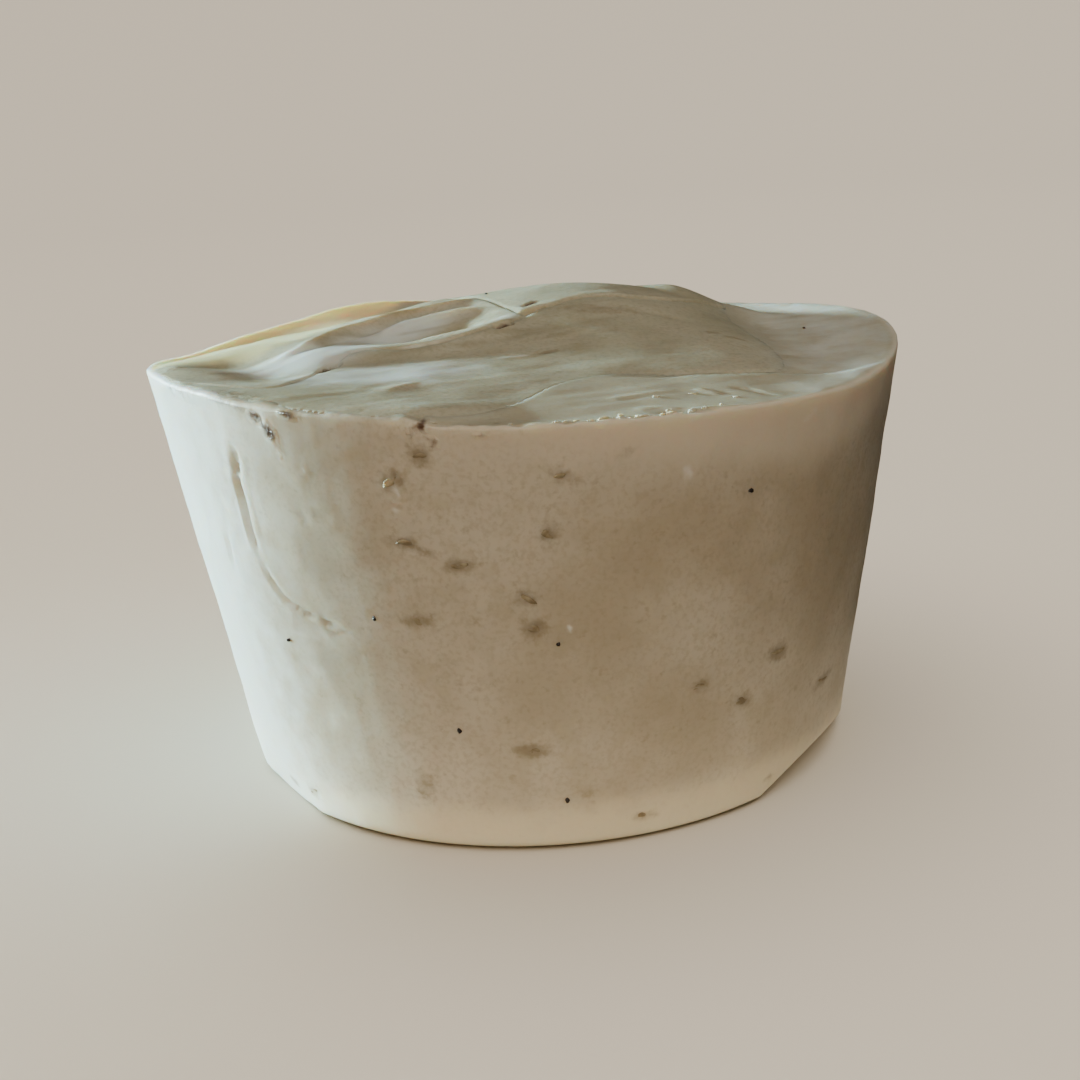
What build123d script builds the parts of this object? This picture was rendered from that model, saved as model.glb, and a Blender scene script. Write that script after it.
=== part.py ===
from build123d import *
import os
from math import atan, atan2, cos, degrees, exp, hypot, radians, sin, tan
from typing import NamedTuple

# Shaving soap puck: soap poured into a tapered cup, with a crown of three spoonfuls lapped over each other
# while the soap was still soft. Millimetres, +Z up, origin at the middle of the flat base. The crown leaves
# a ledge of the poured soap bare at the front, which is towards -Y. An azimuth is in degrees from +X
# towards +Y. A place on the top is in shares of the rim radius, and one on the wall in shares of its height.

# Driving dimensions
rim_diameter = 70.0  # across the wall at its mean rim
base_diameter = 57.8  # across the wall where it would meet the base plane
wall_height = 38.5  # base to the mean rim
base_edge_radius = 1.5
base_edge_flats = 3  # the base edge is planed round by hand, in this many narrow flats
rim_slope = 1.8  # how far the crown's left edge stands above its middle

seat_drop = 1.7  # the flat seat under the crown lies this far below the mean rim
lip_power = 4.0  # how late the poured soap climbs from the seat to the rim; more is a narrower lip
ledge_rise = 1.5  # height of the bare ledge above the seat

dome_height = 3.6  # crown's dome above its foot
foot_height = 0.5  # the crown's foot above the mean rim
foot_run = 0.8  # the crown's side leans inwards by this much for each millimetre up
rim_margin = 0.5  # wall edge left bare outside the crown
back_fall = 1.5  # how far the crown drops towards its back edge
back_fall_start = 0.3  # share of the rim radius, towards +Y, at which that drop starts
back_fall_run = 0.6  # shares of the rim radius that it takes
left_lap_step = 0.45  # the left spoonful stands this far proud of the front one
back_lap_step = 0.3

bran_length = 1.9
bran_width = 0.9
bran_thickness = 0.4
bran_proud = 0.05
seed_radius = 0.28
crumb_radius = 0.7
scattered_bran_count = 12  # flakes round the sides and the back

rim_radius = rim_diameter / 2
base_radius = base_diameter / 2
draft = (rim_radius - base_radius) / wall_height
seat_level = wall_height - seat_drop
crown_level = wall_height + foot_height + dome_height
head_room = dome_height + rim_slope + 4 * foot_height  # more than the crown ever stands above the rim

surface_samples = 31  # heights taken along each side of a surface
surface_overrun = 1.5  # surfaces reach this far past the wall
surface_fit = 0.05  # a surface passes this close to its heights


class Swell(NamedTuple):
    """A rise or dip of the rim round an azimuth."""

    azimuth: float
    spread: float
    rise: float


class Fold(NamedTuple):
    """A rounded ridge, or a groove where height is negative, between two places on the top."""

    start: tuple
    end: tuple
    width: float
    height: float


class Trim(NamedTuple):
    """A flat cut off the base edge: how high up the wall it starts and how far into the base it ends."""

    azimuth: float
    height: float
    inset: float


class Chip(NamedTuple):
    """A bran flake in the wall."""

    azimuth: float
    height_share: float
    turn: float


rim_settling = 0.3  # between its swells the rim lies this far under its mean height
rim_swells = [
    Swell(-148, 38, 2.0),  # shoulder at the front left
    Swell(163, 10, -0.5),
    Swell(122, 13, 1.0),  # thin lip at the back left
    Swell(52, 22, -1.3),  # slump at the back right
    Swell(6, 18, 0.3),
    Swell(-38, 26, -1.3),  # slump at the front right
]

base_trims = [Trim(-150, 4.5, 1.2), Trim(-31, 3.2, 2.4)]

# The crown's foot, as azimuths and shares of the room inside the rim.
crown_foot = [
    (-34, 0.80),
    (-13, 0.65),
    (15, 0.59),
    (40, 0.74),
    (65, 0.86),
    (92, 0.86),
    (120, 0.84),
    (150, 0.82),
    (174, 0.90),
    (-165, 0.99),
    (-144, 1.0),
    (-122, 1.0),
    (-103, 0.98),
    (-92, 0.82),
    (-80, 0.62),
    (-62, 0.64),
    (-49, 0.77),
]

dome_place = (0.16, 0.20)
dome_reach = (0.47, 0.44)
ledge_place = (0.34, -0.66)
ledge_reach = (0.50, 0.24)

# Where one spoonful laps over the next, as seen from above at the crown's height.
left_joint = [(-1.0, -0.26), (-0.80, -0.47), (-0.60, -0.55), (-0.46, -0.42), (-0.28, -0.36), (0.0, -0.14)]
side_joint = [(0.0, -0.14), (-0.10, 0.06), (-0.20, 0.34), (-0.30, 0.68), (-0.42, 1.05)]
back_joint = [(0.0, -0.14), (0.18, -0.10), (0.33, -0.07), (0.52, 0.12), (0.68, 0.34), (0.95, 0.62)]
left_lean = (-0.5, 0.6)  # sideways run of the joint per unit of depth, so that the upper lap overhangs
back_lean = (0.0, 1.0)
outside = 3.0  # shares of the rim radius that lie well clear of the wall

left_folds = [
    Fold((-0.62, -0.30), (-0.22, 0.26), 3.6, 0.7),  # long ridge from the left edge towards the dome's top
    Fold((-0.46, -0.32), (-0.10, -0.20), 3.6, 0.5),  # lower lip of the oval hollow
    Fold((-0.36, -0.14), (-0.12, 0.0), 3.6, -0.6),  # the oval hollow
    Fold((-0.95, -0.14), (-0.60, -0.42), 3.6, -0.4),  # dip beside the left edge
    Fold((-0.92, 0.06), (-0.36, 0.72), 6.5, -1.9),  # fall towards the back-left edge
]

# Bran flakes that show at the front, by hand.
front_bran = [
    Chip(-108, 0.89, 70),
    Chip(-101, 0.70, 0),
    Chip(-108, 0.75, 20),
    Chip(-108, 0.57, 5),
    Chip(-92, 0.62, 80),
    Chip(-91, 0.55, 60),
    Chip(-86, 0.88, 150),
    Chip(-88, 0.76, 75),
    Chip(-66, 0.36, 10),
    Chip(-50, 0.38, 30),
    Chip(-57, 0.29, 50),
    Chip(-93, 0.26, 0),
    Chip(-75, 0.06, 40),
    Chip(-35, 0.24, 20),
    Chip(-137, 0.07, 60),
    Chip(-104, 0.94, 45),
]
flake_corners = [(-1, 0), (-0.4, 1), (0.5, 0.8), (1, -0.1), (0.3, -1), (-0.6, -0.7)]  # in half lengths and widths
golden_turn = 137.5  # degrees from one scattered flake to the next, which never lines them up
scatter_start = 100.0
scatter_span = 220.0  # the scattered flakes keep out of the front, where the others lie

# Seeds as (azimuth, share of the wall's height).
wall_seeds = [(-59, 0.79), (-88, 0.51), (-88, 0.13), (-104, 0.31)]
wall_seeds += [(-115, 0.57), (-133, 0.48), (31, 0.35), (118, 0.66)]
lip_seed = (0.78, 0.11)
dome_seed = (-0.10, 0.25)
sunk_share = 0.5  # share of its radius that a seed's or crumb's middle lies under the surface
grain_sides = 6
grain_tilt = 35.0

# Crumbs left on the bare ledge when its edge was trimmed.
crumb_places = [(0.29, -0.75), (0.38, -0.72), (0.47, -0.76), (0.20, -0.92), (0.31, -0.88), (0.43, -0.84)]


def wall_radius(height):
    """Radius of the tapered wall at a height."""
    return base_radius + draft * height


def turn_between(a, b):
    """Smallest angle between two azimuths."""
    return abs((a - b + 180) % 360 - 180)


def eased(share):
    """0 to 1 with a flat start and end."""
    share = min(1.0, max(0.0, share))
    return share * share * (3 - 2 * share)


def on_top(place):
    """Coordinates of a place on the top."""
    return (place[0] * rim_radius, place[1] * rim_radius)


def bell(x, y, place, reach):
    """1 at place, fading over reach along X and Y."""
    u = (x / rim_radius - place[0]) / reach[0]
    v = (y / rim_radius - place[1]) / reach[1]
    return exp(-u * u - v * v)


def rim_level(azimuth):
    """Height of the wall's edge."""
    swell = sum(s.rise * exp(-((turn_between(azimuth, s.azimuth) / s.spread) ** 2)) for s in rim_swells)
    return wall_height - rim_settling + swell


def poured_level(x, y):
    """Top of the poured soap: a flat seat that climbs to the rim, with a raised ledge at the front."""
    lip = (hypot(x, y) / rim_radius) ** lip_power
    climb = (rim_level(degrees(atan2(y, x))) - seat_level) * lip
    return seat_level + climb + ledge_rise * (1 - lip) * bell(x, y, ledge_place, ledge_reach)


def front_level(x, y):
    """Top of the front spoonful, which carries the dome."""
    foot = wall_height + foot_height - rim_slope * x / rim_radius
    fall = back_fall * eased((y / rim_radius - back_fall_start) / back_fall_run)
    return foot - fall + dome_height * bell(x, y, dome_place, dome_reach)


def fold_rise(x, y, fold):
    """Height that a fold adds, fading out beside it and past its ends."""
    ax, ay = on_top(fold.start)
    bx, by = on_top(fold.end)
    length = hypot(bx - ax, by - ay)
    along = ((x - ax) * (bx - ax) + (y - ay) * (by - ay)) / length
    aside = ((x - ax) * (by - ay) - (y - ay) * (bx - ax)) / length
    past = max(0.0, -along, along - length)
    return fold.height * exp(-((aside / fold.width) ** 2) - (past / (2 * fold.width)) ** 2)


def left_level(x, y):
    """Top of the left spoonful, with its folds."""
    return front_level(x, y) + left_lap_step + sum(fold_rise(x, y, fold) for fold in left_folds)


def back_level(x, y):
    """Top of the back spoonful."""
    return front_level(x, y) + back_lap_step


def space_above(level):
    """Everything over a surface that the puck could fill."""
    reach = wall_radius(wall_height + head_room) + surface_overrun
    step = 2 * reach / (surface_samples - 1)
    marks = [i * step - reach for i in range(surface_samples)]
    rows = [[(x, y, level(x, y)) for x in marks] for y in marks]
    surface = Face.make_surface_from_array_of_points(rows, tol=surface_fit, min_deg=3, max_deg=3)
    return extrude(surface, amount=3 * head_room, dir=(0, 0, 1))


def base_edge():
    """Corners of the planed base edge, from the base up to the wall."""
    lean = degrees(atan(draft))
    turns = [i * (90 - lean) / base_edge_flats for i in range(base_edge_flats + 1)]
    setback = base_edge_radius * tan(radians((90 - lean) / 2))
    middle = base_radius - setback
    return [
        (middle + base_edge_radius * sin(radians(a)), base_edge_radius * (1 - cos(radians(a)))) for a in turns
    ]


def poured_blank():
    """Full tapered block with its planed base edge, taller than the rim."""
    height = wall_height + head_room
    outline = Polyline([(0, 0), *base_edge(), (wall_radius(height), height), (0, height)], close=True)
    return revolve(Plane.XZ * make_face(outline), axis=Axis.Z)


def trimming_cut(trim):
    """What one knife stroke takes off the base edge."""
    clear = 2 * base_radius
    top = (wall_radius(trim.height), trim.height)
    foot = (base_radius - trim.inset, 0)
    past = (2 * foot[0] - top[0], -trim.height)
    section = make_face(Polyline(top, (clear, trim.height), (clear, past[1]), past, close=True))
    return Rot(0, 0, trim.azimuth) * extrude(Plane.XZ * section, amount=base_radius, both=True)


def foot_outline(height):
    """Section of the crown at a height: its sides lean inwards from where they meet the rim's level."""
    points = []
    for azimuth, share in crown_foot:
        room = wall_radius(rim_level(azimuth)) - rim_margin
        reach = share * room - foot_run * (height - rim_level(azimuth))
        points.append((reach * cos(radians(azimuth)), reach * sin(radians(azimuth))))
    return Pos(0, 0, height) * make_face(Spline(points, periodic=True))


def crown_column():
    """Column over the crown's foot, with leaning sides."""
    return loft([foot_outline(seat_level - foot_height), foot_outline(wall_height + head_room)])


def lap_column(first_joint, second_joint, lean):
    """Column under one spoonful, from its two joints outwards, each joint true at the crown's height."""
    first = [on_top(place) for place in first_joint]
    second = [on_top(place) for place in second_joint]
    first_end = tuple(outside * c for c in first[-1])
    second_end = tuple(outside * c for c in second[-1])
    outline = Spline(first) + Spline(second) + Polyline(first[-1], first_end, second_end, second[-1])
    start = Pos(-lean[0] * head_room, -lean[1] * head_room, crown_level + head_room)
    return extrude(start * make_face(outline), amount=5 * head_room, dir=(lean[0], lean[1], -1))


def wall_frame(azimuth, height_share, out=0.0, turn=0.0):
    """Plane on the wall, or out from it, whose normal points into the soap."""
    height = height_share * wall_height
    lean = atan(draft)
    normal = Vector(cos(radians(azimuth)) * cos(lean), sin(radians(azimuth)) * cos(lean), -sin(lean))
    reach = wall_radius(height)
    foot = Vector(reach * cos(radians(azimuth)), reach * sin(radians(azimuth)), height)
    along = Vector(-sin(radians(azimuth)), cos(radians(azimuth)), 0)
    return Plane(origin=foot + normal * out, x_dir=along, z_dir=-normal).rotated((0, 0, turn))


def bran_flake(chip):
    """Flat flake with broken edges, let into the wall and barely proud of it."""
    outline = [(x * bran_length / 2, y * bran_width / 2) for x, y in flake_corners]
    flake = extrude(make_face(Polyline(outline, close=True)), amount=bran_thickness)
    return wall_frame(chip.azimuth, chip.height_share, bran_proud, chip.turn) * flake


def scattered_bran():
    """Flakes round the sides and the back, spread by a golden turn."""
    chips = []
    for i in range(scattered_bran_count):
        azimuth = scatter_start - scatter_span / 2 + (i * golden_turn) % scatter_span
        chips.append(Chip(azimuth, 0.1 + 0.8 * (i + 0.5) / scattered_bran_count, 3 * i * golden_turn))
    return chips


def grain(radius):
    """Six-sided grain, as long as it is wide."""
    return extrude(RegularPolygon(radius, grain_sides), amount=radius, both=True)


def wall_seed(azimuth, height_share):
    """Seed sunk into the wall."""
    return wall_frame(azimuth, height_share, -sunk_share * seed_radius) * grain(seed_radius)


def top_grain(place, level, radius):
    """Grain lying sunk into a surface of the top."""
    x, y = on_top(place)
    return Pos(x, y, level(x, y) - sunk_share * radius) * Rot(grain_tilt, 0, x * golden_turn) * grain(radius)


def crown_laps(over_pour):
    """The three spoonfuls: the left one laps over the back one, and both lap over the front one."""
    room = crown_column() & over_pour
    left_side = lap_column(left_joint[::-1], side_joint, left_lean)
    back_side = lap_column(back_joint, [back_joint[0], (-outside, outside / 2)], back_lean)
    beside_left = room - left_side
    return {
        "front_lap": beside_left - back_side - space_above(front_level),
        "left_lap": (room & left_side) - space_above(left_level),
        "back_lap": (beside_left & back_side) - space_above(back_level),
    }


def main():
    """Build every piece and write one STEP file for each node."""
    over_pour = space_above(poured_level)
    bran = [bran_flake(chip) for chip in front_bran + scattered_bran()]
    seeds = [wall_seed(azimuth, share) for azimuth, share in wall_seeds]
    lip_grain = top_grain(lip_seed, poured_level, seed_radius)
    dome_grain = top_grain(dome_seed, back_level, seed_radius)
    crumbs = [top_grain(place, poured_level, crumb_radius) & over_pour for place in crumb_places]

    nodes = crown_laps(over_pour)
    nodes["back_lap"] -= dome_grain
    block = poured_blank() - [trimming_cut(trim) for trim in base_trims]
    nodes["poured_body"] = block - bran - seeds - over_pour - lip_grain
    nodes["bran_flakes"] = Compound(bran)
    nodes["seed_specks"] = Compound(seeds + [lip_grain, dome_grain])
    nodes["rim_crumbs"] = Compound(crumbs)
    os.makedirs("parts", exist_ok=True)
    for name, shape in nodes.items():
        export_step(shape, f"parts/{name}.step")


main()
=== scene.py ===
import logging
import math
from dataclasses import dataclass
from enum import Enum
from typing import Callable, Iterable, Mapping, Sequence

import bmesh
import bpy
import numpy as np
from mathutils import Matrix, Vector
from mathutils.bvhtree import BVHTree


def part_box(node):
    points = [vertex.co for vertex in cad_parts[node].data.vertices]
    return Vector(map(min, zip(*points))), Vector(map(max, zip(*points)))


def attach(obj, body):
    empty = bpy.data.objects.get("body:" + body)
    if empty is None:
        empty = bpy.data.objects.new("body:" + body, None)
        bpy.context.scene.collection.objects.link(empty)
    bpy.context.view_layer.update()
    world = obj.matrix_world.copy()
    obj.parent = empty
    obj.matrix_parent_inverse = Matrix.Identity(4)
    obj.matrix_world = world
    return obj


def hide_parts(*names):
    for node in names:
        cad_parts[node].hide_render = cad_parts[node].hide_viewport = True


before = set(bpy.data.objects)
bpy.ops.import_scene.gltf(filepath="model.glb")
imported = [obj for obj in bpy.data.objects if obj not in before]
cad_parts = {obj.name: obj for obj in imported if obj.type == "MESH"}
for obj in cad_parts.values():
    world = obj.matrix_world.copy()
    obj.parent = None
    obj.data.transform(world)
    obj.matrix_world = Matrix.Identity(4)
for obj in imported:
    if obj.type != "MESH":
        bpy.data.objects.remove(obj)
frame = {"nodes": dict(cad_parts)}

log = logging.getLogger("puck")
MM = 0.001  # one millimetre in metres
BODY = "root"  # the frame's only body
UP = (0.0, 0.0, 1.0)
FLAT = (1, 1, 0)  # times a point, lays it flat

Array = np.ndarray
Piece = bpy.types.Object
Point = tuple[float, float]
Triple = tuple[float, float, float]
Spot = tuple[Array, Array, Array]  # a place on the surface, with its level and its upward direction


# ---------------- small tools


def linear(hex_colour: str) -> tuple[float, float, float, float]:
    """Turns an sRGB colour into the linear one that shaders take.

    Args:
        hex_colour: The colour as six hex digits after a hash.

    Returns:
        Linear red, green and blue, and an alpha of 1.
    """
    parts = [int(hex_colour[i : i + 2], 16) / 255 for i in (1, 3, 5)]
    return (*(c / 12.92 if c <= 0.04045 else ((c + 0.055) / 1.055) ** 2.4 for c in parts), 1.0)


def new_material(name: str, sockets: Mapping[str, object]) -> tuple[bpy.types.Material, bpy.types.Node]:
    """Makes a node material.

    Args:
        name: Name of the material.
        sockets: Input names of its shader, with their values.

    Returns:
        The material and its shader.
    """
    material = bpy.data.materials.new(name)
    material.use_nodes = True
    shader = material.node_tree.nodes["Principled BSDF"]
    for socket, value in sockets.items():
        shader.inputs[socket].default_value = value
    return material, shader


def add_node(tree: bpy.types.NodeTree, kind: str, settings: Mapping, links: Mapping) -> bpy.types.Node:
    """Adds a shader node, sets it up and wires its inputs.

    Args:
        tree: The node tree of the material.
        kind: The node's type name.
        settings: Property names or input names, with their values.
        links: Input names or numbers, with the output sockets that feed them.

    Returns:
        The new node.
    """
    node = tree.nodes.new(kind)
    for name, value in settings.items():
        if isinstance(name, str) and hasattr(node, name):
            setattr(node, name, value)
        else:
            node.inputs[name].default_value = value
    for name, socket in links.items():
        tree.links.new(socket, node.inputs[name])
    return node


def positions(piece: Piece) -> Array:
    """Reads a mesh's vertices.

    Args:
        piece: The mesh object.

    Returns:
        A row for each vertex, in metres.
    """
    flat = np.empty(len(piece.data.vertices) * 3)
    piece.data.vertices.foreach_get("co", flat)
    return flat.reshape(-1, 3)


def place(piece: Piece, points: Array) -> None:
    """Writes the vertices of a mesh from an array of points in metres."""
    piece.data.vertices.foreach_set("co", np.ascontiguousarray(points).ravel())
    piece.data.update()


def surface_tree(pieces: Iterable[Piece]) -> BVHTree:
    """Makes a search tree over the surfaces of several pieces together.

    Args:
        pieces: The mesh objects.

    Returns:
        The tree.
    """
    corners: list[Vector] = []
    polygons: list[list[int]] = []
    for piece in pieces:
        first = len(corners)
        corners.extend(vert.co.copy() for vert in piece.data.vertices)
        polygons.extend([first + index for index in face.vertices] for face in piece.data.polygons)
    return BVHTree.FromPolygons(corners, polygons)


def select_only(piece: Piece) -> None:
    """Makes a piece the only selected object and the active one.

    Args:
        piece: The object.
    """
    for other in bpy.context.selected_objects:
        other.select_set(False)
    piece.select_set(True)
    bpy.context.view_layer.objects.active = piece


def pick_edges(piece: Piece, wanted: Callable[[Vector, Vector], bool]) -> None:
    """Selects, in edit mode, only the edges whose two ends are wanted.

    Args:
        piece: The object in edit mode.
        wanted: Takes the two ends of an edge and says whether it is wanted.
    """
    bpy.ops.mesh.select_all(action="DESELECT")
    mesh = bmesh.from_edit_mesh(piece.data)
    for edge in mesh.edges:
        edge.select_set(wanted(edge.verts[0].co, edge.verts[1].co))
    bmesh.update_edit_mesh(piece.data)


def pick_disc(piece: Piece, way: int) -> None:
    """Selects, in edit mode, only the round end that faces one way.

    Args:
        piece: The object in edit mode.
        way: 1 for the end that faces up and -1 for the one that faces down.
    """
    bpy.ops.mesh.select_all(action="DESELECT")
    mesh = bmesh.from_edit_mesh(piece.data)
    mesh.faces.ensure_lookup_table()
    for face in mesh.faces:
        face.select_set(len(face.verts) > 4 and face.normal.z * way > 0.9)
    bmesh.update_edit_mesh(piece.data)


def eased(share: Array) -> Array:
    """0 to 1 with a flat start and end, for an array of shares."""
    share = np.clip(share, 0.0, 1.0)
    return share * share * (3 - 2 * share)


def polar(points: Array) -> tuple[Array, Array]:
    """Azimuth in radians of each point, and its distance from the upright axis."""
    return np.arctan2(points[:, 1], points[:, 0]), np.hypot(points[:, 0], points[:, 1])


def hill(off: Array, power: float = 2) -> Array:
    """1 in the middle, falling away to both sides; a higher power has a flatter top."""
    return np.exp(-(off**power))


def between(grid: Array, down: Array, across: Array) -> Array:
    """Reads a grid between its values.

    Args:
        grid: The values, in rows and columns.
        down: Place of each reading down the rows, from 0.
        across: Place of each reading across the columns, from 0.

    Returns:
        The value at each place.
    """
    i = np.minimum(down.astype(int), grid.shape[0] - 2)
    j = np.minimum(across.astype(int), grid.shape[1] - 2)
    u, v = down - i, across - j
    low = grid[i, j] * (1 - u) + grid[i + 1, j] * u
    high = grid[i, j + 1] * (1 - u) + grid[i + 1, j + 1] * u
    return low * (1 - v) + high * v


def ripple(points: Array, size: float, seed: int) -> Array:
    """Smooth noise made of waves that run in all directions.

    Args:
        points: Points in metres.
        size: Typical distance from one crest to the next, in metres.
        seed: Chooses the waves.

    Returns:
        One value for each point, mostly between -1 and 1.
    """
    rng = np.random.default_rng(seed)
    total = np.zeros(len(points))
    waves = 14
    for _ in range(waves):
        direction = rng.normal(size=3)
        direction /= np.linalg.norm(direction)
        length = size * rng.uniform(0.7, 1.8)
        total += np.sin(points @ direction * (2 * math.pi / length) + rng.uniform(0, 2 * math.pi))
    return total / math.sqrt(waves / 2) / 1.6


def unevenness(points: Array, waves: Iterable[tuple[float, float, int]]) -> Array:
    """Sum of ripples, each with a height and a size in millimetres and a seed, in millimetres."""
    return sum(height * ripple(points, size * MM, seed) for height, size, seed in waves)


# ---------------- the form, read from the frame


class PuckForm:
    """The puck's own form, measured on the CAD nodes of the frame."""

    LAPS = ("front_lap", "left_lap", "back_lap")
    cells = 181  # heights taken along each side of the top
    rim_inset = 0.2  # millimetres inside the wall at which the height of its edge is read
    soften = 0.9  # millimetres over which one piece's top runs into the next
    soften_right = 2.6  # the same at the dome's right side, which comes down gently
    soften_front = 5.0  # the same where the front lap runs out on the ledge
    right_start, right_run = 8, 8  # x in millimetres where the right side's softening begins, and its run
    front_middle, front_size = (3, -24), (13, 8)  # middle and half sizes of the front's softening, in millimetres
    front_margin = 3  # millimetres from the rim over which the front's softening dies away

    def __init__(self, nodes: Mapping[str, Piece]) -> None:
        """Measures the wall, the rim and the foot of the crown.

        Args:
            nodes: The frame's objects by name.
        """
        self.trees = {name: surface_tree([node]) for name, node in nodes.items()}
        self.high = max(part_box(name)[1][2] for name in nodes)
        self.low_height, self.high_height = 0.2 * self.high, 0.75 * self.high
        self.low_radius = self.typical_radius(self.low_height)
        self.high_radius = self.typical_radius(self.high_height)
        self.turns = np.linspace(-math.pi, math.pi, 721)
        self.rims = np.array([self.rim_at(turn) for turn in self.turns])
        self.feet = np.array([self.foot_at(turn) for turn in self.turns])
        self.levels = np.arange(0.05, 7.0, 0.25) * MM
        self.skirt = self.skirt_grid()
        self.span = self.radius(self.high) + 1 * MM
        self.marks = np.linspace(-self.span, self.span, self.cells)
        self.grid = self.soft_grid()

    def wall_reach(self, turn: float, height: float) -> float:
        """Measures the block's wall.

        Args:
            turn: Azimuth in radians.
            height: Height in metres.

        Returns:
            Distance from the middle to the wall.
        """
        out = Vector((math.cos(turn), math.sin(turn), 0))
        hit = self.trees["poured_body"].ray_cast(out * 0.2 + Vector((0, 0, height)), -out)[0]
        return hit.xy.length

    def typical_radius(self, height: float) -> float:
        """Median radius of the wall at a height, which passes over its small pockets."""
        turns = np.linspace(0, 2 * math.pi, 48, endpoint=False)
        return float(np.median([self.wall_reach(turn, height) for turn in turns]))

    def radius(self, height: Array | float) -> Array | float:
        """Radius of the tapered wall at a height, or at each of many heights."""
        slope = (self.high_radius - self.low_radius) / (self.high_height - self.low_height)
        return self.low_radius + slope * (height - self.low_height)

    def drop(self, name: str, x: float, y: float) -> float | None:
        """Height of a node's top at a place, or None where the node isn't there."""
        hit = self.trees[name].ray_cast(Vector((x, y, 2 * self.high)), Vector((0, 0, -1)))[0]
        return hit.z if hit else None

    def rim_at(self, turn: float) -> float:
        """Measures the height of the wall's edge.

        Args:
            turn: Azimuth in radians.

        Returns:
            The height in metres.
        """
        height = 0.85 * self.high
        for _ in range(4):
            reach = self.radius(height) - self.rim_inset * MM
            height = self.drop("poured_body", reach * math.cos(turn), reach * math.sin(turn)) or height
        return height

    def foot_at(self, turn: float) -> float:
        """Measures how far out the crown's foot lies.

        Args:
            turn: Azimuth in radians.

        Returns:
            Its distance from the middle, in metres.
        """
        for reach in np.arange(35.0, 5.0, -0.1) * MM:
            x, y = reach * math.cos(turn), reach * math.sin(turn)
            if any(self.drop(lap, x, y) for lap in self.LAPS):
                return reach
        return 5.0 * MM

    def skirt_grid(self) -> Array:
        """Measures the base edge and its knife-trimmed corners.

        Returns:
            How far out they reach: a row for each turn, a column for each level.
        """
        rows = np.array([[min(self.wall_reach(turn, level), self.radius(level)) for level in self.levels]
                         for turn in self.turns])
        for _ in range(2):
            rows = (np.roll(rows, 1, axis=0) + 2 * rows + np.roll(rows, -1, axis=0)) / 4
        return rows

    def skirt_reach(self, azimuths: Array, heights: Array) -> Array:
        """How far out the base edge reaches.

        Args:
            azimuths: Azimuth of each point, in radians.
            heights: Height of each point, in metres.

        Returns:
            The reach at each point, far out for points above the base edge.
        """
        round_it = (azimuths + math.pi) / (2 * math.pi) * (len(self.turns) - 1)
        up = np.clip((heights - self.levels[0]) / (self.levels[1] - self.levels[0]), 0, len(self.levels) - 1.001)
        return np.where(heights > self.levels[-1], np.inf, between(self.skirt, round_it, up))

    def rim(self, azimuths: Array) -> Array:
        """Height of the wall's edge at many azimuths in radians."""
        return np.interp(azimuths, self.turns, self.rims)

    def foot(self, azimuths: Array) -> Array:
        """Distance to the crown's foot at many azimuths in radians."""
        return np.interp(azimuths, self.turns, self.feet)

    def inside(self, points: Array) -> Array:
        """Distance of points inside the wall in metres, 0 for points that are low on it."""
        return (self.radius(points[:, 2]) - polar(points)[1]) * (points[:, 2] > 0.7 * self.high)

    def height_grid(self) -> Array:
        """Measures the whole top, laps and ledge together.

        Returns:
            Its heights in metres: a row for each y, a column for each x.
        """
        rows = np.empty((self.cells, self.cells))
        for i, y in enumerate(self.marks):
            for j, x in enumerate(self.marks):
                reach = math.hypot(x, y)
                edge = self.radius(float(self.rim(math.atan2(y, x)))) - self.rim_inset * MM
                shrink = min(1.0, edge / max(reach, 1e-9))
                found = [self.drop(name, x * shrink, y * shrink) for name in ("poured_body", *self.LAPS)]
                rows[i, j] = max(height for height in found if height is not None)
        return rows

    def softened(self, rows: Array, spread: float) -> Array:
        """Blurs the heights of the top.

        Args:
            rows: The heights.
            spread: How far the blur reaches, in millimetres.

        Returns:
            The blurred heights.
        """
        step = 2 * self.span / (self.cells - 1)
        width = int(3 * spread * MM / step) + 1
        weights = np.exp(-((np.arange(-width, width + 1) * step / (spread * MM)) ** 2) / 2)
        weights /= weights.sum()
        for axis in (0, 1):
            padded = np.pad(rows, [(width, width) if a == axis else (0, 0) for a in (0, 1)], mode="edge")
            rows = sum(w * np.take(padded, range(k, k + self.cells), axis=axis) for k, w in enumerate(weights))
        return rows

    def soft_grid(self) -> Array:
        """Softens the top, more at the dome's right side and most where the front lap runs out.

        Returns:
            Its heights in metres: a row for each y, a column for each x.
        """
        rough = self.height_grid()
        x, y = self.marks[None, :] / MM, self.marks[:, None] / MM
        right = eased((x - self.right_start) / self.right_run)
        grid = self.softened(rough, self.soften) * (1 - right) + self.softened(rough, self.soften_right) * right
        from_middle = ((x - self.front_middle[0]) / self.front_size[0]) ** 2
        front = hill(from_middle + ((y - self.front_middle[1]) / self.front_size[1]) ** 2)
        front *= eased((self.radius(0.9 * self.high) / MM - np.hypot(x, y)) / self.front_margin)
        return grid * (1 - front) + self.softened(rough, self.soften_front) * front

    def top(self, points: Array) -> Array:
        """Height of the softened top at each point, whose own height doesn't matter."""
        across = np.clip((points[:, :2] + self.span) / (2 * self.span), 0, 1) * (self.cells - 1)
        return between(self.grid.T, across[:, 0], across[:, 1])

    def wall_point(self, azimuth: float, height: float) -> Array:
        """Point of the wall at an azimuth in degrees and a height in millimetres."""
        turn, reach = math.radians(azimuth), self.radius(height * MM)
        return np.array((reach * math.cos(turn), reach * math.sin(turn), height * MM))

    def wall_spot(self, place_on: Point) -> Spot:
        """Spot on the wall at an azimuth in degrees and a height in millimetres."""
        turn = math.radians(place_on[0])
        return self.wall_point(*place_on), np.array((-math.sin(turn), math.cos(turn), 0)), np.array(UP)


# ---------------- marks worked into the soap


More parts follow.
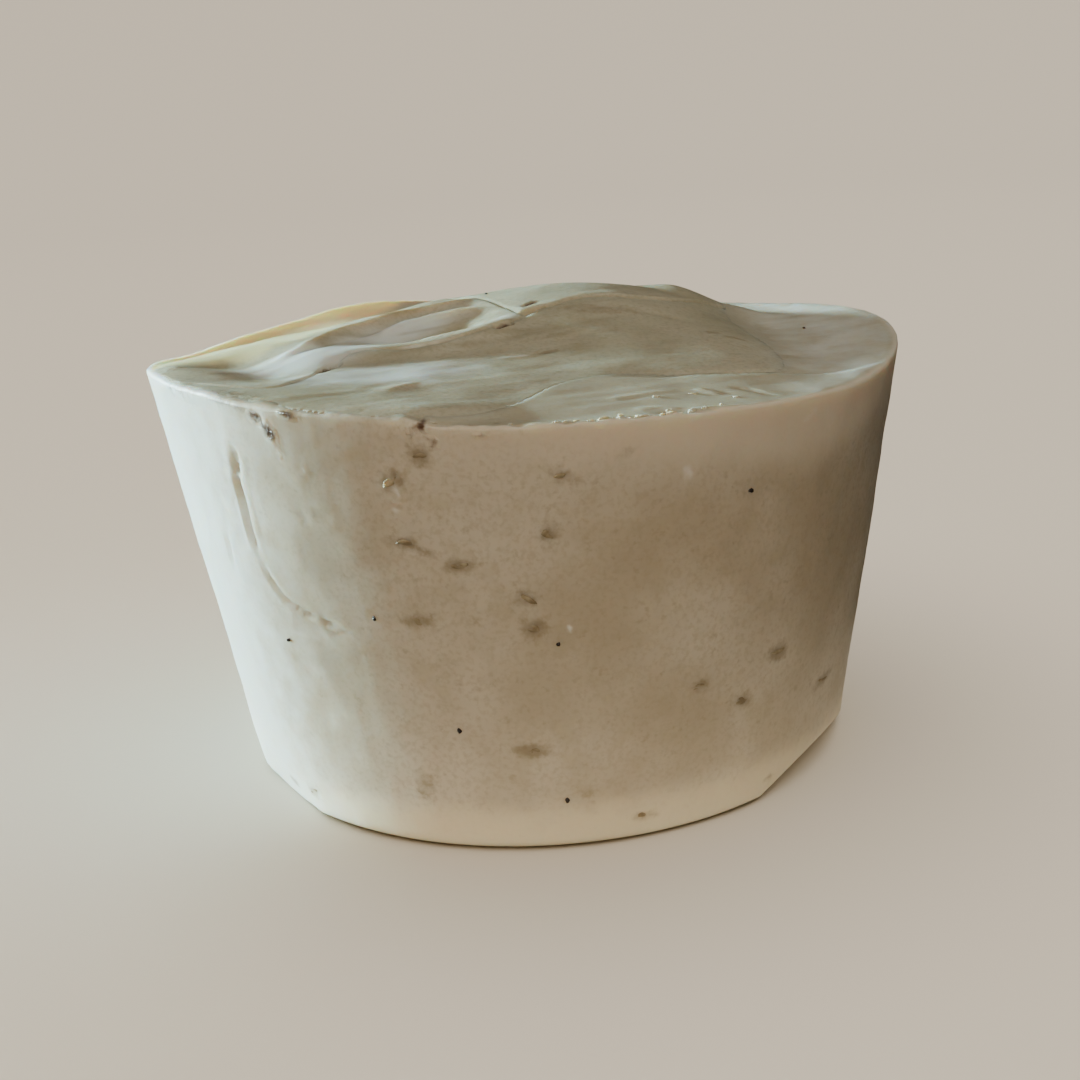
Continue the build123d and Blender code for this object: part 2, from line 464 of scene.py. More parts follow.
class Cut(Enum):
    """Shape of a mark across its path."""

    ROUND = "round"  # a soft groove or ridge
    SCOOP = "scoop"  # shallow on the left of its path and steep on the right
    STEP = "step"  # the left side stands up, as at the edge of a fold


@dataclass(frozen=True)
class Stroke:
    """A mark along a path, in millimetres.

    Attributes:
        path: Its middle line: azimuth and height on the wall, or x and y on the top.
        width: Half width at the start and at the end.
        rise: Height, negative for a groove.
        cut: Shape across the path.
        lip: Height of the burr pushed up at both sides.
        fade: Share of the path over which each end eases in.
    """

    path: Sequence[Point]
    width: Point
    rise: float
    cut: Cut = Cut.ROUND
    lip: float = 0.0
    fade: float = 0.25


@dataclass(frozen=True)
class Pit:
    """A small round hole or lump in the wall, in millimetres.

    Attributes:
        place: Azimuth and height of its middle.
        radius: Its radius.
        rise: Height, negative for a hole.
        lip: Height of the burr pushed up round it.
    """

    place: Point
    radius: float
    rise: float
    lip: float


@dataclass(frozen=True)
class Patch:
    """A soft oval patch of colour, in millimetres.

    Attributes:
        place: Azimuth and height on the wall, or x and y on the top.
        size: Half length and half width.
        turn: Angle of its length from level, in degrees.
        strength: 0 to 1, or above 1 for a hard edge.
    """

    place: Point
    size: Point
    turn: float
    strength: float


def patch_rows(*rows: tuple[float, float, float, float, float, float]) -> tuple[Patch, ...]:
    """Patches from rows of place, half length, half width, turn and strength."""
    return tuple(Patch(row[:2], row[2:4], *row[4:]) for row in rows)


def upward(points: Array) -> Array:
    """The upward direction, once for each point."""
    return np.tile(UP, (len(points), 1))


def flat_path(path: Sequence[Point]) -> Array:
    """Corners of a path on the top, laid flat, in metres."""
    return np.array([(x * MM, y * MM, 0) for x, y in path])


def top_spot(place_on: Point) -> Spot:
    """Spot on the top, laid flat, at x and y in millimetres."""
    return flat_path([place_on])[0], np.array((1.0, 0, 0)), np.array((0, 1.0, 0))


def beside_path(points: Array, up: Array, path: Array) -> tuple[Array, Array]:
    """Finds where points lie from a path.

    Args:
        points: Points in metres.
        up: The outward direction at each point.
        path: Corners of the path in metres.

    Returns:
        The distance from the path, positive on its left, and the share of the path passed.
    """
    runs = np.linalg.norm(np.diff(path, axis=0), axis=1)
    nearest = np.full(len(points), np.inf)
    side = np.ones(len(points))
    share = np.zeros(len(points))
    passed = 0.0
    for start, end, run in zip(path[:-1], path[1:], runs):
        direction = (end - start) / run
        along = np.clip((points - start) @ direction, 0, run)
        gap = points - start - along[:, None] * direction
        distance = np.linalg.norm(gap, axis=1)
        closer = distance < nearest
        turned = np.einsum("ij,ij->i", np.cross(direction, gap[closer]), up[closer])
        nearest[closer] = distance[closer]
        side[closer] = np.where(turned < 0, -1.0, 1.0)
        share[closer] = (passed + along[closer]) / runs.sum()
        passed += run
    return nearest * side, share


def stroke_rise(points: Array, up: Array, path: Array, stroke: Stroke) -> Array:
    """Works out one stroke.

    Args:
        points: Points in metres.
        up: The outward direction at each point.
        path: Corners of the stroke's path in metres.
        stroke: The stroke.

    Returns:
        How far it moves each point along its outward direction, in metres.
    """
    aside, share = beside_path(points, up, path)
    width = (stroke.width[0] + (stroke.width[1] - stroke.width[0]) * share) * MM
    off = aside / width
    if stroke.cut is Cut.ROUND:
        across = hill(off)
    elif stroke.cut is Cut.SCOOP:
        across = eased((1.0 - off) / 1.3) * eased((off + 0.45) / 0.35)
    else:
        across = eased((off + 1) / 2) * hill(np.maximum(off - 1, 0) / 4)
    ends = eased(share / stroke.fade) * eased((1 - share) / stroke.fade)
    burr = hill((np.abs(off) - 1.15) / 0.35)
    return (stroke.rise * across + stroke.lip * burr) * ends * MM


def pit_rise(points: Array, middle: Array, pit: Pit) -> Array:
    """How far a pit moves each point along its outward direction, in metres."""
    off = np.linalg.norm(points - middle, axis=1) / (pit.radius * MM)
    return (pit.rise * hill(off, 4) + pit.lip * hill((off - 1.25) / 0.35)) * MM


def patch_mask(points: Array, spot: Spot, patch: Patch) -> Array:
    """Works out one soft oval patch.

    Args:
        points: Points in metres.
        spot: The middle of the patch, and the directions there.
        patch: The patch's size, turn and strength.

    Returns:
        0 to the patch's strength at each point.
    """
    middle, level, rise = spot
    turn = math.radians(patch.turn)
    gap = (points - middle) / MM
    along = gap @ (level * math.cos(turn) + rise * math.sin(turn)) / patch.size[0]
    aside = gap @ (rise * math.cos(turn) - level * math.sin(turn)) / patch.size[1]
    near = np.linalg.norm(gap, axis=1) < 3 * max(patch.size)
    return patch.strength * near * hill(along**2 + aside**2, 1.3)


def patches_mask(points: Array, patches: Iterable[Patch], spot: Callable[[Point], Spot]) -> Array:
    """Lays soft patches over each other.

    Args:
        points: Points in metres.
        patches: The patches.
        spot: Turns a patch's place into the spot where it lies.

    Returns:
        Strength of the strongest patch at each point.
    """
    mask = np.zeros(len(points))
    for patch in patches:
        mask = np.maximum(mask, patch_mask(points, spot(patch.place), patch))
    return mask


def paint(piece: Piece, masks: Mapping[str, Array]) -> None:
    """Stores masks on a mesh, for its finish to read.

    Args:
        piece: The mesh object.
        masks: One number for each vertex, by name of the mask.
    """
    for name, values in masks.items():
        layer = piece.data.attributes.new(name, "FLOAT", "POINT")
        layer.data.foreach_set("value", np.clip(values, 0, 1).astype(np.float32))


# Line on the top beyond which, towards the back and left, the soap is thin, and a glow of light coming through it is
# painted on.
GLOW_LINE: tuple[Point, ...] = (
    (-40, -12), (-31, -10), (-27, -8.6), (-23.4, -7.6), (-19, -4.4), (-17.6, 3), (-17, 13), (-16, 22), (-13.6, 28),
    (-11.4, 32.8), (-8, 42),
)

# Marks on the top, by x and y in millimetres. Each is one pass of the spoon or a tear in the skin.
TOP_STROKES: tuple[Stroke, ...] = (
    # broad passes
    Stroke([(-15, 5.5), (-11, 7.6), (-7.7, 9.4), (-5, 10.6)], (3.2, 2.6), -1.0),
    Stroke([(13, 9), (18, 12), (24.5, 17)], (5.0, 4.5), 0.9),
    Stroke([(-4, -30), (0, -30), (4, -29), (9, -27)], (3.4, 3.2), 0.16, fade=0.5),
    Stroke([(-25.5, -4), (-25, -9), (-23, -14), (-18.5, -18.5)], (5.0, 4.2), -1.2, fade=0.35),
    # the long ridge and its fellow
    Stroke(
        [(-24, -12.4), (-20, -8.8), (-18.3, -4.4), (-16.2, -1.8), (-13.4, 0.9), (-10.9, 3.1), (-8.6, 4.2),
         (-5.2, 6.3), (-2.8, 7.4)], (0.7, 0.5), 0.34,
    ),
    Stroke(
        [(-22, -12.6), (-18.4, -8.4), (-16.6, -5.6), (-14.4, -2.6), (-11.6, 0.8), (-9.2, 2.4), (-6, 3.6), (-3, 4)],
        (0.7, 0.6), -0.3,
    ),
    # the oval hollow between two ridges
    Stroke(
        [(-13.6, -5.1), (-12.8, -2.6), (-11, -0.7), (-8.5, 1.0), (-6.1, 2), (-4.4, 2.1), (-2.1, 1.4)],
        (0.5, 0.4), 0.36,
    ),
    Stroke([(-13, -8), (-10.6, -5.4), (-7.2, -3.6), (-3.6, -2.4)], (2.0, 1.5), -0.5),
    Stroke([(-9.2, -6.6), (-7.6, -4.6), (-5.2, -3.8)], (0.5, 0.35), 0.16),
    # small folds on the front lap
    Stroke([(-11.8, -25), (-10.7, -23.5), (-9.9, -22.3), (-8.6, -20.8)], (0.6, 0.4), 0.09),
    Stroke([(-13.8, -25), (-12.4, -23.2), (-11.2, -21.4)], (0.8, 0.6), -0.05),
    Stroke([(-2.6, -13.6), (-0.6, -13.2), (1.2, -12.9)], (0.5, 0.4), 0.07),
    Stroke([(0.6, -12.6), (2.0, -12.2), (3.4, -11.4)], (0.5, 0.4), -0.08),
    Stroke([(5.6, -1.4), (9, -0.6), (12.6, -1.2), (16, -2.6)], (0.8, 0.6), -0.14),
    # slits
    Stroke([(-17.9, -16.6), (-16.9, -14.8), (-15.9, -13.2)], (0.28, 0.2), -0.7),
    Stroke([(-2.9, -6.4), (-1.8, -5.2), (-0.7, -4.2)], (0.32, 0.25), -0.7),
    Stroke([(0.0, -0.3), (0.8, 0.6), (1.7, 1.5)], (0.28, 0.22), -0.6),
    # where the dome comes down on the ledge
    Stroke(
        [(4.6, -19.7), (7, -19.4), (11.2, -19.1), (18, -18.3), (23.2, -17.5), (26.7, -16.8), (30.7, -14),
         (32.6, -10.7)], (0.5, 0.7), -0.16,
    ),
    Stroke(
        [(32.6, -10.9), (30.7, -14.2), (26.7, -17), (23.2, -17.7), (18, -18.5), (12, -19.3)],
        (0.8, 0.5), 0.14, Cut.STEP,
    ),
    # scrapes on the ledge
    Stroke([(6.4, -27), (8.4, -25.8), (10.2, -25), (12, -24.4)], (0.4, 0.3), 0.08, fade=0.1),
    Stroke([(13.6, -23.8), (14.6, -24.8), (15.2, -25.6)], (0.35, 0.3), 0.14, fade=0.1),
    Stroke([(16.2, -23.4), (17.6, -23.9), (18.8, -25.2), (20, -26.2)], (0.4, 0.35), -0.16, Cut.ROUND, 0.04),
    Stroke([(8.2, -30.4), (10, -29.8), (11.6, -30.4)], (0.4, 0.35), 0.12, fade=0.1),
    Stroke([(12.2, -31.1), (13.8, -30.6), (15.6, -30.2), (17.4, -30.6)], (0.4, 0.35), 0.13, fade=0.1),
    Stroke([(9.5, -31.4), (12, -31.9), (14, -31.5)], (0.45, 0.4), -0.13),
)

# Unevenness of the top: height and size in millimetres, and seed, of its waves and of its fine ridges.
TOP_WAVES = ((0.045, 8, 11), (0.012, 3, 12))
TOP_RIDGES = ((0.014, 1.7, 13), (0.006, 0.7, 14))

# Soft patches of colour on the crown: x, y, half length and half width in millimetres, turn in degrees, strength.
TOP_PATCHES: dict[str, tuple[Patch, ...]] = {
    # painted shade along the slits, and real brown stains near the left rim
    "stain": patch_rows(
        (-16.9, -14.9, 1.6, 0.36, 55, 1.4), (-1.8, -5.3, 1.4, 0.34, 45, 1.4), (0.8, 0.6, 1.1, 0.4, 48, 1.3),
        (-30.5, -12.5, 2.6, 1.0, 62, 0.45), (-24.0, -24.0, 4.0, 0.8, -35, 0.5),
    ),
    # bran marks under the skin, and painted shade in the hollows at the left and in the crevice in front of the back
    # lap
    "bruise": patch_rows(
        (2.2, -12.0, 1.2, 0.5, 20, 0.9), (17.3, -5.3, 0.9, 0.5, -15, 0.8), (19.3, -6.4, 1.2, 0.5, -20, 0.8),
        (7.0, -1.5, 6.0, 1.4, 4, 0.5), (-6.0, -2.6, 2.2, 0.8, 30, 0.35), (-25.0, -14.5, 3.4, 0.9, 40, 0.55),
        (-26.0, -10.5, 3.2, 0.8, 30, 0.6),
    ),
    # painted light: the cool pale window light on the crown's lit left side
    "frost": patch_rows(
        (-19.5, -11.5, 6.5, 3.6, 30, 1.0), (-12.0, -18.0, 9.0, 4.0, 8, 0.7), (-12.0, -3.0, 8.0, 2.6, 40, 0.8),
    ),
    # painted highlights along ridges of the crown
    "scuff": patch_rows(
        (-9.0, -10.0, 4.0, 0.4, 20, 0.5), (-1.0, -13.2, 1.6, 0.4, 8, 0.5), (-1.6, -2.4, 2.2, 1.0, 45, 0.6),
    ),
}


@dataclass(frozen=True)
class Seam:
    """Where one lap's rolled edge lies over the next; the upper lap is on its left.

    Attributes:
        path: Its line, by x and y in millimetres.
        proud: How far the rolled edge stands up, in millimetres.
        roll: Width of the rolled edge, in millimetres.
        fade: Distance over which the edge dies away at each end, in millimetres.
    """

    path: Sequence[Point]
    proud: float
    roll: float
    fade: Point = (6.0, 6.0)

    def room(self, flat: Array) -> tuple[Array, Array]:
        """Finds where points lie from the seam.

        Args:
            flat: Points laid flat, in metres.

        Returns:
            Their distance to its left in metres, and how strong the seam is there.
        """
        path = flat_path(self.path)
        aside, share = beside_path(flat, upward(flat), path)
        length = np.linalg.norm(np.diff(path, axis=0), axis=1).sum() / MM
        ends = eased(share * length / self.fade[0]) * eased((1 - share) * length / self.fade[1])
        return aside, ends


# The left lap lies over the front and the back one, and the back one over the front one.
LEFT_SEAM = Seam(
    [
        (-42, -16), (-31, -18.2), (-27.5, -19.8), (-25.2, -21.2), (-23, -22.2), (-21.2, -22.8), (-20, -22),
        (-18.9, -19.6), (-17.9, -17.6), (-17.3, -15.4), (-16, -13.4), (-15.1, -11.6), (-14.1, -10.9),
        (-12.6, -10.9), (-10.9, -11.1), (-9.3, -10.4), (-7.1, -9.7), (-5, -8.3), (-2.8, -6.3), (-0.9, -4.3),
        (0.4, -2.6),
    ],
    0.08, 0.4, (12.0, 3.0),
)
SIDE_SEAM = Seam(
    [
        (2, -4.6), (0.4, -2.2), (-1.6, 1.5), (-3.2, 5.2), (-6, 10.4), (-8.5, 16), (-12, 26), (-16, 38),
    ],
    0.04, 0.6,
)
BACK_SEAM = Seam(
    [
        (-42, -12), (-20, -12), (-15, -9), (-10.5, -9.2), (-7, -7.6), (-3, -4.2), (-0.2, -2.1), (1.4, -1.2),
        (2.8, -0.7), (4.6, 0.9), (6.2, 1.6), (7.7, 1.6), (9.4, 2.1), (10.3, 1.8), (11.7, 2.3), (14.5, 3.6),
        (18, 6.6), (22, 11), (29, 20), (36, 28),
    ],
    0.22, 0.45, (3.0, 24.0),
)


def glow_mask(form: PuckForm, points: Array) -> Array:
    """Finds where a honey-coloured glow of light coming through the thin soap at the back and left of the top is
    painted.

    Args:
        form: The puck's form.
        points: Points in metres.

    Returns:
        Its strength at each point, 0 to 1.
    """
    aside = beside_path(points * FLAT, upward(points), flat_path(GLOW_LINE))[0]
    wander = 0.5 * MM * ripple(points, 6 * MM, 41)
    beyond = eased((aside + wander) / (4.5 * MM) + 0.25)
    return beyond * eased((form.inside(points) - 0.3 * MM) / (0.7 * MM))


def streaks(points: Array, size: float, seed: int) -> Array:
    """Draws fine ridges that run the way the spoon went.

    Args:
        points: Points in metres.
        size: Distance from one ridge to the next, in millimetres.
        seed: Chooses the ridges.

    Returns:
        One value for each point, mostly between -1 and 1.
    """
    way = math.radians(24)
    along = points[:, 0] * math.cos(way) + points[:, 1] * math.sin(way)
    aside = points[:, 1] * math.cos(way) - points[:, 0] * math.sin(way)
    bent = aside + 0.9 * MM * ripple(points * FLAT, 22 * MM, seed + 50)
    stretched = np.column_stack((along * 0.12, bent, 0 * bent))
    return ripple(stretched, size * MM, seed)


def crown_height(form: PuckForm, points: Array) -> Array:
    """Height of the worked top, which the poured block and every lap share.

    Args:
        form: The puck's form.
        points: Points in metres, whose heights don't matter.

    Returns:
        The height at each point.
    """
    flat = points * FLAT
    up = upward(flat)
    uneven = unevenness(flat, TOP_WAVES)
    uneven += sum(height * streaks(flat, size, seed) for height, size, seed in TOP_RIDGES)
    for stroke in TOP_STROKES:
        uneven += stroke_rise(flat, up, flat_path(stroke.path), stroke) / MM
    azimuths, reach = polar(flat)
    return form.top(flat) + uneven * MM * eased((form.radius(form.rim(azimuths)) - reach) / (1.2 * MM))


def streak_mask(points: Array) -> Array:
    """Finds the brown streaks that the spoon drew out of the bran.

    Args:
        points: Points in metres.

    Returns:
        Their strength at each point, strongest round the ridges near the middle.
    """
    flat = points * FLAT
    near = hill(np.hypot(flat[:, 0] + 4 * MM, flat[:, 1] + 1 * MM) / (14 * MM), 4)
    drawn = 0.2 + 0.4 * streaks(flat, 3.4, 31) + 0.3 * streaks(flat, 1.5, 32)
    return np.clip(drawn, 0, 1) * (0.3 + 0.7 * near)


def right_painted_light(points: Array) -> Array:
    """Strength of the painted light on the top, which begins 16 mm to the right and is full after 12 mm more."""
    return 0.45 * eased((points[:, 0] / MM - 16) / 12)


def islands(node: str) -> list[Array]:
    """Takes a CAD node apart.

    Args:
        node: Name of the node.

    Returns:
        Corner points of each of its separate solids, in metres.
    """
    mesh = bmesh.new()
    mesh.from_mesh(frame["nodes"][node].data)
    bmesh.ops.remove_doubles(mesh, verts=mesh.verts, dist=0.002 * MM)
    mesh.verts.ensure_lookup_table()
    seen: set[int] = set()
    found = []
    for start in mesh.verts:
        if start.index in seen:
            continue
        group, ahead = [], [start]
        seen.add(start.index)
        while ahead:
            vert = ahead.pop()
            group.append(tuple(vert.co))
            for edge in vert.link_edges:
                other = edge.other_vert(vert)
                if other.index not in seen:
                    seen.add(other.index)
                    ahead.append(other)
        found.append(np.array(group))
    mesh.free()
    return found


def bran_halo(form: PuckForm, points: Array) -> Array:
    """Finds the blurred mark round each bran flake, which is sunk under the skin.

    Args:
        form: The puck's form.
        points: Points in metres.

    Returns:
        0 to 1 at each point.
    """
    mask = np.zeros(len(points))
    for number, corners in enumerate(islands("bran_flakes")):
        middle = corners.mean(axis=0)
        long = np.linalg.svd(corners - middle)[2][0]
        turn = math.atan2(middle[1], middle[0])
        on_wall = math.hypot(middle[0], middle[1]) > form.radius(middle[2]) - 1.5 * MM
        if on_wall:
            level, rise, spread = np.array((-math.sin(turn), math.cos(turn), 0)), np.array(UP), 1.0
        else:
            level, rise, spread = np.array((1.0, 0, 0)), np.array((0, 1.0, 0)), 0.7
        lean = math.degrees(math.atan2(long @ rise, long @ level))
        size = (spread * (1.4 + 0.4 * math.sin(7 * number)), spread * (0.8 + 0.25 * math.cos(5 * number)))
        patch = Patch((0, 0), size, lean, 0.65 + 0.2 * math.sin(3 * number))
        mask = np.maximum(mask, patch_mask(points, (middle, level, rise), patch))
    return mask


# ---------------- the poured block


# Marks on the wall, by azimuth in degrees and height in millimetres: the long gouge with its hook and its
# turned-over lip, and the scratches beside it.
GOUGES: tuple[Stroke, ...] = (
    Stroke(
        [(-134.2, 36.2), (-134.6, 34.6), (-135.7, 32.9), (-135.5, 30.3), (-135.6, 28), (-135.2, 25.8)],
        (0.75, 0.5), -0.5, Cut.SCOOP, 0.12, 0.15,
    ),
    Stroke(
        [(-135.2, 26.6), (-133.9, 24.1), (-131.6, 22.5), (-128.4, 21.7), (-123, 20.9), (-118, 20)],
        (0.6, 0.35), -0.4, Cut.SCOOP, 0.1, 0.3,
    ),
    Stroke(
        [(-135.9, 33.6), (-136.5, 35.3), (-135.6, 36.5), (-133.6, 36.2), (-132.9, 35.0), (-133.6, 33.7)],
        (0.22, 0.2), 0.1, fade=0.15,
    ),
    Stroke(
        [(-142.5, 28.5), (-143.1, 26.6), (-143.3, 24.9), (-143.6, 23.7)], (0.6, 0.35), -0.25, Cut.SCOOP, 0.04, 0.3,
    ),
    Stroke([(-131.4, 30.2), (-127, 30.1), (-121, 30.8), (-115.4, 31.1)], (0.22, 0.2), -0.1, Cut.ROUND, 0.05),
    Stroke([(-132.7, 20), (-128, 19.7), (-122, 20.1), (-117.9, 19.9)], (0.25, 0.2), -0.12, Cut.ROUND, 0.06),
    Stroke([(-134.8, 21.6), (-131, 20.9), (-127.6, 20.7)], (0.2, 0.2), -0.12, Cut.ROUND, 0.06),
    Stroke([(-133, 17.6), (-130.6, 16.1), (-127.8, 15.6)], (0.28, 0.2), -0.1, Cut.ROUND, 0.05),
    Stroke([(-141.6, 31.5), (-141.2, 29.4), (-141.9, 27.6)], (0.25, 0.2), -0.16, Cut.ROUND, 0.06),
)

# Small holes and lumps in the wall: azimuth, height, radius, rise, lip.
PITS: tuple[Pit, ...] = tuple(Pit(row[:2], *row[2:]) for row in (
    (-127.6, 38.7, 0.45, -0.28, 0.06), (-126.3, 37.6, 0.4, -0.3, 0.08), (-128.8, 38.9, 0.35, -0.22, 0.06),
    (-104.0, 38.4, 0.5, -0.2, 0.04), (-102.4, 37.3, 0.35, -0.2, 0.05), (-108.1, 34.7, 0.35, -0.3, 0.12),
    (-108.4, 33.0, 0.4, -0.3, 0.14), (-109.1, 31.6, 0.3, -0.25, 0.12), (-107.3, 34.0, 0.3, -0.3, 0.1),
    (-125.3, 35.8, 0.3, -0.2, 0.14), (-122.0, 34.7, 0.25, -0.15, 0.1), (-86.3, 21.0, 0.25, 0.1, 0.0),
    (-69.3, 33.5, 0.35, -0.2, 0.12), (-69.5, 32.5, 0.3, -0.15, 0.1), (-85.8, 33.9, 0.5, -0.12, 0.03),
    (-107.6, 28.8, 0.4, -0.2, 0.05),
))

# Unevenness of the wall: height and size in millimetres, and seed, of its swells and of its grain.
WALL_WAVES = ((0.09, 16, 3), (0.035, 5, 4), (0.012, 1.6, 5))

# Soft patches of colour on the wall: azimuth, height, half length, half width, turn in degrees, strength.
WALL_PATCHES: dict[str, tuple[Patch, ...]] = {
    "stain": patch_rows(
        (-126.2, 37.7, 1.0, 0.6, -60, 1.0), (-128.2, 38.9, 1.2, 0.55, -20, 0.75), (-133, 39.6, 4.5, 0.5, -8, 0.5),
        (-122.5, 39.3, 0.9, 0.25, -8, 0.9), (-146, 39.9, 4.0, 0.7, 0, 0.5), (-104.6, 38.3, 1.1, 0.55, 40, 0.6),
        (-103.6, 38.6, 0.4, 0.35, 0, 1.0), (-102.4, 37.2, 0.4, 0.35, 0, 1.0), (-96, 37.8, 0.9, 0.35, 20, 0.5),
        (-94.2, 38.0, 0.4, 0.7, 0, 0.4),
    ),
    "bruise": patch_rows(
        (-107.5, 34.4, 0.5, 1.1, 20, 0.8), (-107.6, 28.8, 1.4, 0.6, -20, 0.8), (-105.0, 28.0, 1.0, 0.4, -20, 0.5),
        (-107.6, 22.1, 1.6, 0.8, 0, 0.45), (-101.4, 26.8, 1.1, 0.35, 0, 0.9), (-92.0, 23.7, 0.5, 0.9, 0, 0.55),
        (-91.2, 21.2, 0.7, 1.0, 20, 0.6), (-88.1, 29.7, 0.8, 1.2, 30, 0.5), (-88.4, 28.3, 0.6, 0.6, 0, 0.4),
        (-85.8, 33.9, 1.8, 0.8, -25, 0.5), (-77.9, 35.5, 0.8, 0.6, 30, 0.45), (-65.8, 14.0, 0.9, 0.6, 0, 0.6),
        (-49.9, 14.5, 1.2, 0.7, 0, 0.75), (-56.9, 11.2, 1.2, 0.7, 0, 0.7), (-93.4, 10.0, 1.6, 0.5, 0, 0.35),
        (-84.7, 5.5, 0.9, 0.6, 0, 0.5), (-74.8, 2.2, 0.7, 0.5, 0, 0.6), (-34.9, 9.2, 2.2, 0.6, 15, 0.7),
        (-145.5, 2.3, 1.0, 0.6, 0, 0.8), (-111.4, 6.4, 1.2, 1.6, 0, 0.55), (-49.4, 2.2, 0.8, 0.4, 0, 0.6),
        (-67.1, 25.0, 0.9, 0.9, 0, 0.3), (-103.6, 16.5, 0.7, 0.7, 0, 0.4), (-100.0, 15.9, 0.6, 0.4, 0, 0.4),
    ),
    # white scuffs and burrs at the pits, and painted highlights along the gouge's right edge
    "scuff": patch_rows(
        (-133.4, 33.2, 0.2, 2.2, 0, 0.6), (-134.0, 27.6, 0.2, 2.8, 0, 0.6), (-108.2, 33.4, 0.35, 0.8, 20, 0.8),
        (-108.6, 31.8, 0.5, 0.3, 0, 0.8), (-125.3, 35.8, 0.4, 0.6, 0, 0.9), (-121.8, 34.6, 0.35, 0.5, 0, 0.8),
        (-69.4, 33.0, 0.5, 0.9, 0, 0.7), (-86.3, 21.0, 0.35, 0.3, 0, 1.0), (-49.0, 35.6, 1.4, 0.5, 35, 0.5),
    ),
}

# Strength round the wall, by azimuth in degrees, of the painted glow of light through the rim, under it, and of the
# painted window light on the wall's lit left side.
RIM_GLOW_ROUND = ((-180, -125, -100, -60, -30, 60, 180), (0.5, 0.2, 0.5, 0.9, 1.0, 0.6, 0.5))
PAINTED_LIGHT_ROUND = ((-180, -152, -132, -118, 125, 155, 180), (0.9, 0.9, 0.3, 0, 0, 0.6, 0.9))


